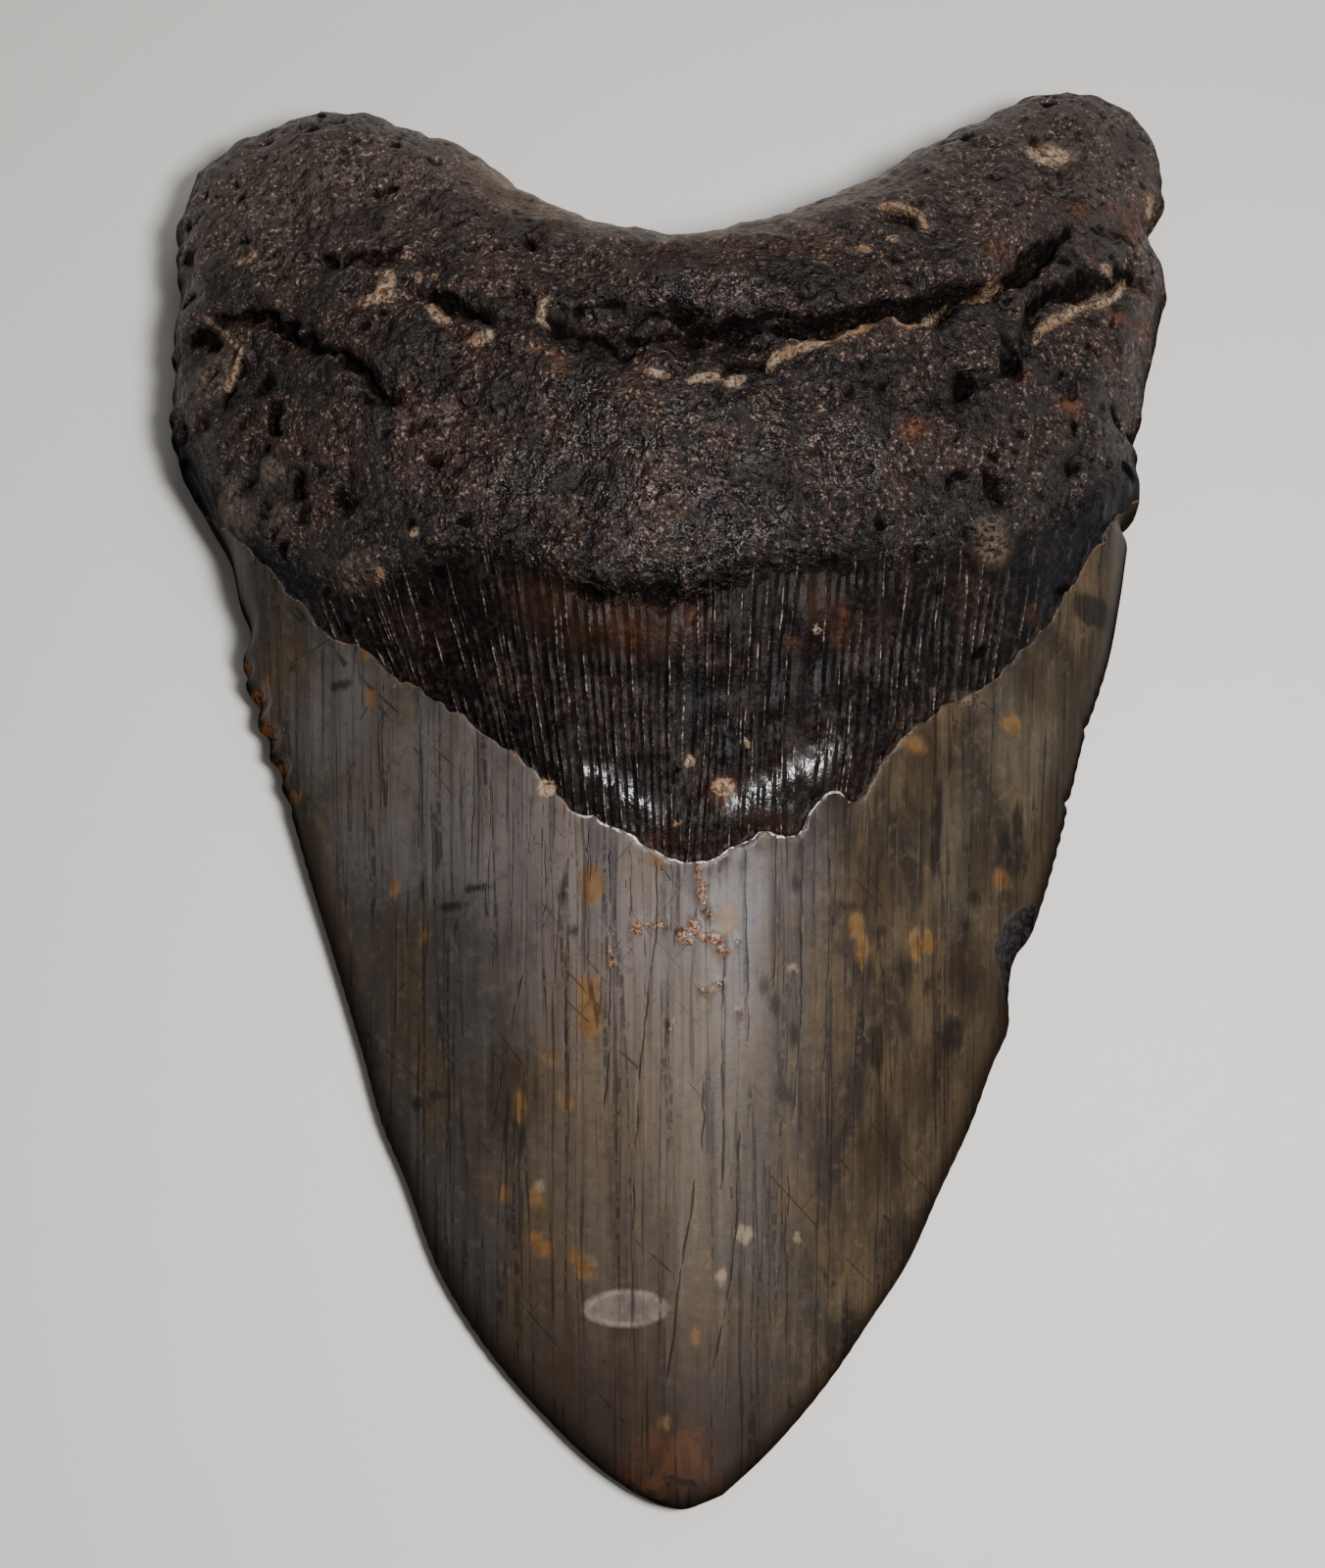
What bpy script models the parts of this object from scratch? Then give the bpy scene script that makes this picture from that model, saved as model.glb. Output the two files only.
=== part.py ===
"""A fossil megalodon tooth lying on its labial face, the root away from the viewer and the tip near.

x runs to the right, y from the tip to the root and z up through the lingual face. The shape is worked out
in millimetres, about the middle of the crown's base, and scaled to metres when the mesh is made."""

import bmesh
import bpy
import numpy as np

MM = 0.001

# The outline from above. Its four edges bound the grid of both faces, and their ends meet.
BASAL_EDGE = [
    (-43.1, 53.9), (-39.8, 56.7), (-35.2, 58.7), (-29.8, 59.3), (-23.2, 57.6), (-17.0, 54.2),
    (-11.9, 50.2), (-7.3, 47.6), (-3.7, 45.7), (0.7, 45.0), (6.8, 46.6), (13.5, 49.6),
    (17.4, 51.8), (23.2, 55.9), (28.6, 58.9), (33.0, 61.4), (38.4, 61.8), (42.6, 60.2),
]
LEFT_EDGE = [
    (-43.1, 53.9), (-44.2, 49.6), (-44.3, 41.0), (-44.2, 33.4), (-43.9, 28.6), (-42.1, 23.2),
    (-40.4, 20.1), (-38.6, 17.0), (-37.6, 13.0), (-36.6, 10.1), (-37.3, 8.4), (-36.6, 4.7),
    (-35.0, 0.3), (-32.9, -4.7), (-30.9, -10.9), (-28.4, -18.3), (-25.9, -25.9), (-24.0, -32.0),
    (-22.1, -36.2), (-18.9, -44.1), (-14.4, -50.8), (-10.3, -55.3), (-5.3, -59.8), (-2.9, -61.4),
]
RIGHT_EDGE = [
    (42.6, 60.2), (44.9, 56.2), (44.9, 50.6), (43.7, 46.7), (44.4, 44.5), (43.6, 36.9),
    (42.4, 32.1), (41.5, 28.4), (41.8, 23.4), (40.8, 20.0), (39.7, 13.7), (38.7, 8.8),
    (36.2, 1.4), (34.1, -6.5), (31.9, -13.4), (30.9, -15.9), (29.6, -17.6), (28.9, -20.8),
    (28.8, -23.6), (27.4, -26.7), (25.3, -31.9), (22.6, -37.3), (19.5, -43.6), (16.5, -47.9),
    (13.6, -52.0), (10.7, -55.5), (7.4, -58.9), (4.3, -61.6),
]
TIP_EDGE = [(-2.9, -61.4), (-0.6, -62.4), (1.2, -62.7), (2.8, -62.2), (4.3, -61.6)]

# The sides without their chips, from tip to root, as (y, left x, right x). The vault follows them.
SIDES = np.array([
    (-66.0, -7.0, 8.0), (-55.0, -12.2, 13.2), (-45.0, -18.2, 18.8), (-30.0, -24.6, 26.2),
    (-15.0, -29.5, 31.6), (0.0, -34.8, 36.0), (10.0, -37.8, 39.0), (20.0, -40.2, 40.8),
    (30.0, -43.4, 42.2), (50.0, -44.2, 44.8), (66.0, -44.0, 45.0),
])

# Cross-sections from tip to root, as (y, lingual height on the middle line, the same at the sides, how
# much it flattens towards the sides, height of the rim, rounding above the rim, rounding below it, lift of
# the labial face at the sides, hollow of its middle).
SECTIONS = np.array([
    (-66.0, 3.2, 2.7, 0.0, 2.2, 0.9, 1.2, 1.4, 0.6),
    (-58.0, 5.6, 2.8, 0.1, 2.3, 0.9, 1.2, 1.6, 0.3),
    (-50.0, 8.0, 2.9, 0.15, 2.4, 0.9, 1.2, 1.9, 0.1),
    (-36.0, 11.8, 3.1, 0.2, 2.6, 0.9, 1.2, 2.2, 0.0),
    (-20.0, 16.0, 3.3, 0.2, 2.8, 0.9, 1.3, 2.3, 0.0),
    (-10.0, 18.8, 3.7, 0.15, 3.0, 1.0, 1.4, 2.3, 0.2),
    (-2.0, 21.4, 4.6, 0.1, 3.3, 1.3, 1.7, 2.1, 0.5),
    (6.0, 24.2, 5.6, 0.1, 3.9, 1.5, 2.0, 1.9, 0.8),
    (14.0, 26.6, 7.6, 0.05, 4.8, 2.0, 3.0, 1.4, 1.0),
    (22.0, 27.3, 10.6, 0.0, 6.0, 3.8, 4.6, 0.9, 1.1),
    (30.0, 26.4, 12.9, 0.0, 6.9, 6.8, 6.0, 0.7, 1.2),
    (38.0, 24.0, 13.6, -0.1, 7.2, 8.5, 6.5, 0.6, 1.2),
    (46.0, 20.6, 13.2, -0.2, 7.2, 9.0, 6.5, 0.6, 0.9),
    (54.0, 17.8, 12.6, -0.3, 7.2, 9.0, 6.5, 0.6, 0.5),
    (66.0, 15.0, 12.0, -0.3, 7.2, 9.0, 6.5, 0.6, 0.2),
])
RESTING_CUT = 0.15
LEAST_RISE = 0.35

# Where the root ends over the bourlette, and where the enamel of the crown begins.
ROOT_LEDGE = np.array([
    (-46.0, 31.0), (-43.0, 28.4), (-38.2, 20.8), (-32.9, 15.3), (-27.1, 11.9), (-20.2, 11.9),
    (-14.5, 12.1), (-9.7, 9.9), (-4.9, 8.1), (-0.2, 7.0), (4.5, 9.0), (9.2, 10.1), (14.0, 11.1),
    (21.4, 12.4), (25.6, 14.2), (30.0, 15.8), (34.6, 19.2), (39.8, 25.0), (46.0, 33.0),
])
ENAMEL_EDGE = np.array([
    (-46.0, 27.0), (-35.5, 15.8), (-32.3, 12.2), (-28.5, 7.8), (-25.4, 6.5), (-22.6, 3.6),
    (-19.5, 1.6), (-15.3, -1.7), (-11.7, -4.5), (-10.1, -6.4), (-7.1, -8.9), (-3.5, -10.4),
    (-0.9, -12.1), (1.3, -12.6), (3.7, -12.4), (6.9, -10.5), (10.4, -9.8), (12.4, -7.4),
    (16.1, -6.5), (17.7, -3.7), (22.3, 0.7), (27.1, 3.9), (29.3, 6.4), (32.4, 9.7), (35.6, 15.0),
    (39.2, 20.0), (46.0, 28.0),
])
LABIAL_EDGE = np.array([
    (-46.0, 24.0), (-37.0, 16.5), (-26.0, 18.5), (-12.0, 15.5), (0.0, 14.0), (13.0, 16.0),
    (27.0, 20.0), (38.0, 19.0), (46.0, 26.0),
])
LEDGE_HEIGHT = 0.9
# The share of the ledge's height that lies under the vault, below the ledge.
LEDGE_UNDER = 0.5
ENAMEL_HEIGHT = 0.45
STEP_WIDTH = 0.4
# How far the broken rim of the enamel strays from its smooth line, as (size, reach).
RIM_STRAY = (1.5, 0.3)
# How far the ledge reaches from the middle, and how softly it ends there.
LEDGE_REACH, LEDGE_FADE = 31.0, 7.0

# Lines on the lingual face, as (width, depth, points). A negative depth is a ridge.
GROOVES = [
    (1.1, 2.1, [(34.8, 44.4), (32.3, 40.9), (28.9, 37.7), (24.0, 34.7), (20.9, 32.5), (16.3, 31.2),
                (12.4, 30.4), (8.3, 30.4), (5.5, 29.6), (1.7, 30.4), (-2.6, 31.1), (-6.6, 30.4)]),
    (1.9, 1.5, [(-11.0, 30.6), (-5.8, 29.2), (-1.0, 28.9), (3.0, 28.3), (8.4, 28.2)]),
    (0.9, 1.2, [(42.5, 43.0), (37.2, 38.6), (32.0, 36.2), (30.8, 33.0), (28.5, 29.6), (23.7, 25.5),
                (20.9, 23.6)]),
    (0.8, 1.1, [(-41.5, 37.4), (-35.6, 35.2), (-32.4, 33.5), (-29.2, 31.0), (-26.1, 28.0),
                (-23.1, 25.4), (-19.6, 22.0)]),
    (0.9, 0.9, [(-32.0, 40.4), (-30.0, 39.4), (-25.3, 38.4), (-20.0, 37.6), (-17.0, 35.8)]),
    (0.8, 1.1, [(-22.4, 35.0), (-20.4, 34.0), (-17.1, 32.2), (-13.6, 30.6)]),
    (0.7, 0.9, [(-15.0, 33.6), (-11.7, 32.4), (-9.8, 31.2), (-7.6, 31.6)]),
    (1.9, -1.0, [(33.0, 45.6), (28.0, 41.4), (22.0, 37.4), (15.0, 34.8), (8.0, 33.6), (0.0, 34.4),
                 (-8.0, 34.2)]),
    (1.1, -0.5, [(29.0, 35.6), (24.0, 32.6), (18.4, 29.8), (12.4, 27.4), (7.0, 25.6), (0.0, 25.4)]),
    (0.8, -0.6, [(-41.2, 35.4), (-38.3, 35.0), (-36.2, 33.2), (-36.6, 30.6)]),
    (2.4, -0.9, [(-14.0, -0.4), (-9.7, -3.6), (-6.5, -6.2), (-3.0, -8.2), (1.5, -9.6), (5.0, -8.8),
                 (8.6, -7.0), (11.8, -5.2), (15.4, -2.6), (20.0, 1.2)]),
]

# The shallow channel along the middle of the bourlette, as (width, depth, points).
CHANNEL = [
    (3.4, 1.1, [(-30.0, 13.0), (-24.0, 9.0), (-16.0, 5.4), (-8.0, 2.0), (0.0, 0.2), (8.0, 1.2),
                (16.0, 4.5), (24.0, 8.8), (30.0, 12.0)]),
]
# How unevenly wide a groove is, as (size, share), over what share of its length it fades out at each end,
# how many widths from its line it is still felt, and how many steps its line has for each of its points.
UNEVEN = (1.9, 0.4)
END_FADE = 0.14
GROOVE_REACH = 3
LINE_STEPS = 4
# How far the grooves and pits of the root stray from their smooth shapes, as (size, reach).
STRAY = [(3.2, 0.5), (1.3, 0.4)]

# Pits and lumps of the lingual face, as (x, y, radius, depth). A negative depth is a lump.
PITS = [
    (26.7, 18.4, 1.6, 1.3), (19.9, 42.2, 1.7, 0.9), (-3.0, 8.7, 1.2, 1.5), (-0.4, 8.2, 1.5, 1.7),
    (-6.3, 7.9, 0.8, 0.8), (2.4, 6.6, 0.9, 0.7), (28.5, 29.4, 1.2, 0.9), (24.3, 26.1, 1.1, 0.8),
    (22.7, 24.0, 1.0, 0.6), (38.6, 44.5, 1.1, 0.9), (-31.3, 19.9, 1.3, 0.9), (-18.7, 19.1, 0.9, 0.7),
    (-26.1, 17.7, 1.1, 0.7), (-40.1, 34.6, 2.0, 1.0), (-38.0, 27.7, 1.7, 0.7), (-34.9, 24.0, 1.6, 0.8),
    (-36.0, 21.6, 1.2, 0.6), (35.6, 30.0, 1.3, 0.6), (33.5, 51.4, 2.2, 0.6), (-36.5, 40.8, 1.2, 0.5),
    (23.8, 51.9, 2.0, -0.6), (-32.8, 17.6, 1.8, -0.5), (-25.4, 12.6, 1.6, -0.6), (27.2, 14.8, 1.9, -0.6),
    (3.5, 38.0, 4.0, -0.4), (-12.0, 42.0, 5.0, 0.5), (14.0, 40.5, 3.4, -0.4), (-27.0, 47.0, 6.0, -0.5),
    (31.0, 24.0, 4.0, -0.4), (-22.0, 27.0, 4.5, -0.4),
]

# How steep the sides of a pit are: 1 is a bell, and more is steeper.
PIT_STEEPNESS = 1.5

# The flake broken from the right cutting edge.
CHIP_CENTRE = (31.0, -17.6)
CHIP_REACH = (3.6, 4.4)
CHIP_DEPTH = 1.6

# Random lumps of the root, as (size, height), and waves of the enamel along and across the crown.
ROOT_LUMPS = [(9.0, 0.65), (4.5, 0.5), (2.4, 0.3)]
CROWN_WAVES = (2.6, 17.0, 0.07)
# Random lumps of the labial root, and how far it stands back from the crown.
LABIAL_LUMPS = [(5.0, 0.3), (2.6, 0.15)]
LABIAL_STEP = 0.15
# How late the labial face turns up towards the sides: 2 is a round curve, and more is later.
LABIAL_TURN = 2.6
# Bumps of the root's worn outline, as (size, height), the share of each edge where they fade out at its
# ends, and where on the sides they begin, as (y, fade).
EDGE_BUMPS = (2.6, 0.3)
EDGE_FADE = 0.06
SIDE_BUMPS_FROM = (22.0, 6.0)

# The ribs of the bourlette. Below RIB_TOP they close up by RIB_CLOSING for each millimetre, and that share
# changes by RIB_CLOSING_CHANGE from the middle to each side, over RIB_CLOSING_REACH.
RIB_SPACING, RIB_WIDTH, RIB_HEIGHT = 1.75, 0.32, 0.2
RIB_TOP = 12.0
RIB_CLOSING, RIB_CLOSING_CHANGE, RIB_CLOSING_REACH = 0.010, 0.005, 10.0
# How far the ribs wander from their even places, over what width and over what length.
RIB_WANDER, RIB_WANDER_WIDTH, RIB_WANDER_LENGTH = 0.9, 2.6, 23.4

# Seeds of the random lumps, so that each run gives the same ones.
RIB_SEED, WAVE_SEED, LABIAL_SEED = 5, 7, 11
LEFT_SEED, RIGHT_SEED, BASAL_SEED = 23, 24, 25
RIM_SEED, STRAY_SEED_X, STRAY_SEED_Y, UNEVEN_SEED = 53, 80, 90, 95
LUMP_TABLE = 128

COLUMNS = 300
ROWS = 300
EDGE_STEPS = 160
CROWDING = 0.45
TRIANGLES = 9700
RIM_MARGIN = 1e-6
WELD_DISTANCE = 1e-7

FOSSIL_COLOUR = (0.075, 0.062, 0.055, 1.0)
FOSSIL_ROUGHNESS = 0.45


def through(knots, values, at):
    """A smooth curve through values at the knots, read at other places."""
    slopes = np.gradient(values, knots, axis=0)
    left = np.clip(np.searchsorted(knots, at, side="right") - 1, 0, len(knots) - 2)
    step = knots[left + 1] - knots[left]
    s = (at - knots[left]) / step
    if values.ndim > 1:
        s = s[:, None]
        step = step[:, None]
    return (
        (1 + 2 * s) * (1 - s) ** 2 * values[left]
        + s * (1 - s) ** 2 * step * slopes[left]
        + s * s * (3 - 2 * s) * values[left + 1]
        + s * s * (s - 1) * step * slopes[left + 1]
    )


def smooth_line(points, count):
    """Points spaced evenly along a smooth line through a few points."""
    points = np.array(points, float)
    reach = np.concatenate([[0.0], np.cumsum(np.hypot(*np.diff(points, axis=0).T))])
    return through(reach, points, np.linspace(0.0, reach[-1], count))


def step_up(value, width):
    """From 0 to 1 as the value passes through 0, over this width."""
    s = np.clip(value / width + 0.5, 0.0, 1.0)
    return s * s * (3 - 2 * s)


def lumps(x, y, size, seed):
    """Smooth random lumps of about this size, from -1 to 1."""
    table = np.random.default_rng(seed).uniform(-1.0, 1.0, (LUMP_TABLE, LUMP_TABLE))
    across = x / size + LUMP_TABLE // 2
    along = y / size + LUMP_TABLE // 2
    i = across.astype(int)
    j = along.astype(int)
    s = step_up(across - i - 0.5, 1.0)
    t = step_up(along - j - 0.5, 1.0)
    low = table[i, j] * (1 - s) + table[i + 1, j] * s
    high = table[i, j + 1] * (1 - s) + table[i + 1, j + 1] * s
    return low * (1 - t) + high * t


def bumps(edge, seed):
    """The height of the small bumps of a worn edge, which fade out at its ends."""
    size, high = EDGE_BUMPS
    share = np.linspace(0.0, 1.0, EDGE_STEPS)
    reach = share * np.hypot(*np.diff(edge, axis=0).T).sum()
    ends = step_up(np.minimum(share, 1 - share) - EDGE_FADE / 2, EDGE_FADE)
    return high * ends * lumps(reach, 0 * reach, size, seed)


def outline():
    """The basal, left, right and tip edges, which are bumpy around the root alone, and their middle."""
    basal, left, right, tip = (
        smooth_line(edge, EDGE_STEPS) for edge in (BASAL_EDGE, LEFT_EDGE, RIGHT_EDGE, TIP_EDGE)
    )
    smooth = np.concatenate([basal, left, right, tip])
    middle = (smooth.min(axis=0) + smooth.max(axis=0)) / 2
    start, fade = SIDE_BUMPS_FROM
    for edge, seed in [(left, LEFT_SEED), (right, RIGHT_SEED)]:
        edge[:, 0] += bumps(edge, seed) * step_up(edge[:, 1] - start, fade)
    basal[:, 1] += bumps(basal, BASAL_SEED)
    return basal, left, right, tip, middle


BASAL, LEFT, RIGHT, TIP, MIDDLE = outline()
RIM = np.concatenate([BASAL, RIGHT[1:], TIP[-2::-1], LEFT[-2::-1]])


def on_edge(edge, share):
    """The points at these shares of an edge's length."""
    steps = np.linspace(0.0, 1.0, EDGE_STEPS)
    return np.stack([np.interp(share, steps, edge[:, 0]), np.interp(share, steps, edge[:, 1])], axis=1)


def plan_of(u, v):
    """The point inside the outline for a grid point, blended between the four edges."""
    s = u[:, None]
    t = v[:, None]
    corners = (1 - t) * ((1 - s) * BASAL[0] + s * BASAL[-1]) + t * ((1 - s) * TIP[0] + s * TIP[-1])
    across = (1 - t) * on_edge(BASAL, u) + t * on_edge(TIP, u)
    along = (1 - s) * on_edge(LEFT, v) + s * on_edge(RIGHT, v)
    return across + along - corners


def distance_to(x, y, line):
    """The distance from each point to a line, and how far along it the nearest place is, from 0 to 1."""
    step = np.diff(line, axis=0)
    length = np.hypot(step[:, 0], step[:, 1])
    before = np.concatenate([[0.0], np.cumsum(length)])
    nearest = np.full(len(x), np.inf)
    share = np.zeros(len(x))
    for (x0, y0), (dx, dy), size, reach in zip(line[:-1], step, length, before):
        s = np.clip(((x - x0) * dx + (y - y0) * dy) / size**2, 0.0, 1.0)
        away = np.hypot(x - x0 - s * dx, y - y0 - s * dy)
        closer = away < nearest
        nearest[closer] = away[closer]
        share[closer] = (reach + s[closer] * size) / before[-1]
    return nearest, share


def above(x, y, line):
    """How far each point lies on the root's side of a line that runs from left to right."""
    height = through(line[:, 0], line[:, 1], x)
    slope = np.interp(x, line[:, 0], np.gradient(line[:, 1], line[:, 0]))
    return (y - height) / np.hypot(1.0, slope)


def rounding(inside, radius):
    """How far a face has risen from the rim, from 0 to 1, on a round edge of this radius."""
    short = 1 - np.minimum(inside / radius, 1.0)
    return np.sqrt(1 - short**2)


def section_at(x, y):
    """The place across the tooth, from -1 to 1, and the values of its cross-section."""
    sides = through(SIDES[:, 0], SIDES[:, 1:], y)
    across = np.clip((2 * x - sides[:, 0] - sides[:, 1]) / (sides[:, 1] - sides[:, 0]), -1.0, 1.0)
    return across, through(SECTIONS[:, 0], SECTIONS[:, 1:], y)


def strayed(x, y):
    """The points moved about a little, so that what is worked out from them comes out ragged."""
    ragged_x = x.copy()
    ragged_y = y.copy()
    for number, (size, reach) in enumerate(STRAY):
        ragged_x += reach * lumps(x, y, size, STRAY_SEED_X + number)
        ragged_y += reach * lumps(x, y, size, STRAY_SEED_Y + number)
    return ragged_x, ragged_y


def carved(x, y, lines):
    """The depth of some grooves, less the height of the ridges."""
    depth = np.zeros(len(x))
    size, share_uneven = UNEVEN
    for width, deepest, points in lines:
        line = smooth_line(points, LINE_STEPS * len(points))
        low = line.min(axis=0) - GROOVE_REACH * width
        high = line.max(axis=0) + GROOVE_REACH * width
        near = (x > low[0]) & (x < high[0]) & (y > low[1]) & (y < high[1])
        away, share = distance_to(x[near], y[near], line)
        ends = step_up(np.minimum(share, 1 - share) - END_FADE / 2, END_FADE)
        uneven = width * (1 + share_uneven * lumps(x[near], y[near], size, UNEVEN_SEED))
        depth[near] += deepest * ends * np.exp(-((away / uneven) ** 2))
    return depth


def pits(x, y):
    """The depth of the pits, less the height of the lumps."""
    depth = np.zeros(len(x))
    for pit_x, pit_y, radius, deepest in PITS:
        away = ((x - pit_x) ** 2 + (y - pit_y) ** 2) / radius**2
        depth += deepest * np.exp(-(away**PIT_STEEPNESS))
    return depth


def ribs(x, y):
    """The fine ribs of the bourlette, which close up towards the tip."""
    closing = RIB_CLOSING - RIB_CLOSING_CHANGE * np.tanh(x / RIB_CLOSING_REACH)
    at_top = x / (1 - closing * (RIB_TOP - y))
    stretch = RIB_WANDER_WIDTH / RIB_WANDER_LENGTH
    at_top += RIB_WANDER * lumps(at_top, y * stretch, RIB_WANDER_WIDTH, RIB_SEED)
    place = at_top / RIB_SPACING
    away = np.abs(place - np.round(place)) * RIB_SPACING
    return RIB_HEIGHT * np.exp(-((away / RIB_WIDTH) ** 2))


def chip(x, y):
    """The depth of the flake broken from the cutting edge."""
    reach_x, reach_y = CHIP_REACH
    away = ((x - CHIP_CENTRE[0]) / reach_x) ** 2 + ((y - CHIP_CENTRE[1]) / reach_y) ** 2
    return CHIP_DEPTH * np.maximum(1 - away, 0.0)


def lingual_relief(x, y):
    """What rises from the vault of the lingual face, or is cut into it."""
    rim_size, rim_reach = RIM_STRAY
    over_enamel = above(x, y, ENAMEL_EDGE) + rim_reach * lumps(x, y, rim_size, RIM_SEED)
    root = step_up(above(x, y, ROOT_LEDGE), STEP_WIDTH)
    crown = 1 - step_up(over_enamel, STEP_WIDTH)
    band = 1 - np.maximum(root, crown)
    ledge = LEDGE_HEIGHT * step_up(LEDGE_REACH - np.abs(x), LEDGE_FADE)
    relief = (root - LEDGE_UNDER) * ledge + crown * ENAMEL_HEIGHT + band * ribs(x, y)
    stray_x, stray_y = strayed(x, y)
    relief -= carved(stray_x, stray_y, GROOVES) + carved(x, y, CHANNEL) + pits(stray_x, stray_y)
    for number, (size, height) in enumerate(ROOT_LUMPS):
        relief += root * height * lumps(x, y, size, number)
    wave_width, wave_length, wave_height = CROWN_WAVES
    relief += crown * wave_height * lumps(x / wave_width, y / wave_length, 1.0, WAVE_SEED)
    return relief - chip(x, y)


def lingual_vault(x, y):
    """The height of the lingual face without its rounded rim and its relief."""
    across, section = section_at(x, y)
    middle, side, flatten = section[:, 0], section[:, 1], section[:, 2]
    return side + (middle - side) * (1 - across**2) * (1 - flatten * across**2)


def labial_face(x, y):
    """The height of the labial face without its rounded rim. It is cut flat where it rests."""
    across, section = section_at(x, y)
    lift, hollow = section[:, 6], section[:, 7]
    curved = lift * np.abs(across) ** LABIAL_TURN + hollow * (1 - across**2) ** 2
    root = step_up(above(x, y, LABIAL_EDGE), STEP_WIDTH)
    curved += root * LABIAL_STEP
    for number, (size, height) in enumerate(LABIAL_LUMPS):
        curved += root * height * lumps(x, y, size, LABIAL_SEED + number)
    return np.maximum(curved - RESTING_CUT, 0.0)


def heights(x, y, on_rim):
    """The heights of the lingual and the labial face at points inside the outline."""
    inside, _ = distance_to(x, y, RIM)
    inside[on_rim] = 0.0
    section = section_at(x, y)[1]
    rim, round_above, round_below = section[:, 3], section[:, 4], section[:, 5]
    rise = np.maximum(lingual_vault(x, y) + lingual_relief(x, y) - rim, LEAST_RISE)
    drop = np.maximum(rim - labial_face(x, y), LEAST_RISE)
    return rim + rise * rounding(inside, round_above), rim - drop * rounding(inside, round_below)


def crowded(share):
    """Even steps moved closer together near both ends."""
    return share - CROWDING * np.sin(2 * np.pi * share) / (2 * np.pi)


def tooth_mesh(name):
    """Two grids, one for each face, laid over the outline and welded at the rim."""
    bm = bmesh.new()
    for _ in range(2):
        bmesh.ops.create_grid(bm, x_segments=COLUMNS, y_segments=ROWS, size=1.0)
    mesh = bpy.data.meshes.new(name)
    bm.to_mesh(mesh)
    bm.free()
    points = np.empty(len(mesh.vertices) * 3)
    mesh.vertices.foreach_get("co", points)
    points = points.reshape(2, -1, 3)
    u = (points[0, :, 0] + 1) / 2
    v = (1 - points[0, :, 1]) / 2
    on_rim = (np.minimum(u, v) < RIM_MARGIN) | (np.maximum(u, v) > 1 - RIM_MARGIN)
    plan = plan_of(crowded(u), crowded(v))
    points[:, :, :2] = plan - MIDDLE
    points[0, :, 2], points[1, :, 2] = heights(plan[:, 0], plan[:, 1], on_rim)
    mesh.vertices.foreach_set("co", points.ravel() * MM)
    bm = bmesh.new()
    bm.from_mesh(mesh)
    labial = [face for face in bm.faces if face.verts[0].index >= len(plan)]
    bmesh.ops.reverse_faces(bm, faces=labial)
    bmesh.ops.remove_doubles(bm, verts=bm.verts, dist=WELD_DISTANCE)
    bm.to_mesh(mesh)
    bm.free()
    mesh.shade_smooth()
    return mesh


def fossil_material():
    """Dark brown-grey fossil with a satin finish."""
    material = bpy.data.materials.new("fossil")
    material.use_nodes = True
    shader = material.node_tree.nodes["Principled BSDF"]
    shader.inputs["Base Color"].default_value = FOSSIL_COLOUR
    shader.inputs["Roughness"].default_value = FOSSIL_ROUGHNESS
    shader.inputs["Metallic"].default_value = 0.0
    return material


def main():
    for old in list(bpy.data.objects):
        bpy.data.objects.remove(old, do_unlink=True)
    collection = bpy.data.collections.new("megalodon_tooth")
    bpy.context.scene.collection.children.link(collection)
    tooth = bpy.data.objects.new("tooth", tooth_mesh("tooth"))
    tooth.data.materials.append(fossil_material())
    collection.objects.link(tooth)
    fewer = tooth.modifiers.new("fewer_faces", "DECIMATE")
    fewer.ratio = TRIANGLES / (4 * COLUMNS * ROWS)
    fewer.use_collapse_triangulate = True


main()
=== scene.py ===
import bmesh
import bpy
import numpy as np
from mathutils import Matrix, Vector


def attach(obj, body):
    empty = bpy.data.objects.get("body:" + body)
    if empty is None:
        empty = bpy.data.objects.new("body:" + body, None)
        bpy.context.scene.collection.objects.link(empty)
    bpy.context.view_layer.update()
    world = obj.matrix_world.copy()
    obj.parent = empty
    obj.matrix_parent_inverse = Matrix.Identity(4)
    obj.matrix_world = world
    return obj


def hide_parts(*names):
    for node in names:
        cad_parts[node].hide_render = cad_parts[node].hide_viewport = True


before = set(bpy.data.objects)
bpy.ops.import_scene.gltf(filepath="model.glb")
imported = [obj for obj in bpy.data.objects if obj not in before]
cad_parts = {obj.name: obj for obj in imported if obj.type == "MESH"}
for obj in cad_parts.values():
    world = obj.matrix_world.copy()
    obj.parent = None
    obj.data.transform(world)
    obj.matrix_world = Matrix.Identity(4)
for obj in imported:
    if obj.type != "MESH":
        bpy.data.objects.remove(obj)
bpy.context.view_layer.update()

MM = 0.001

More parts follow.
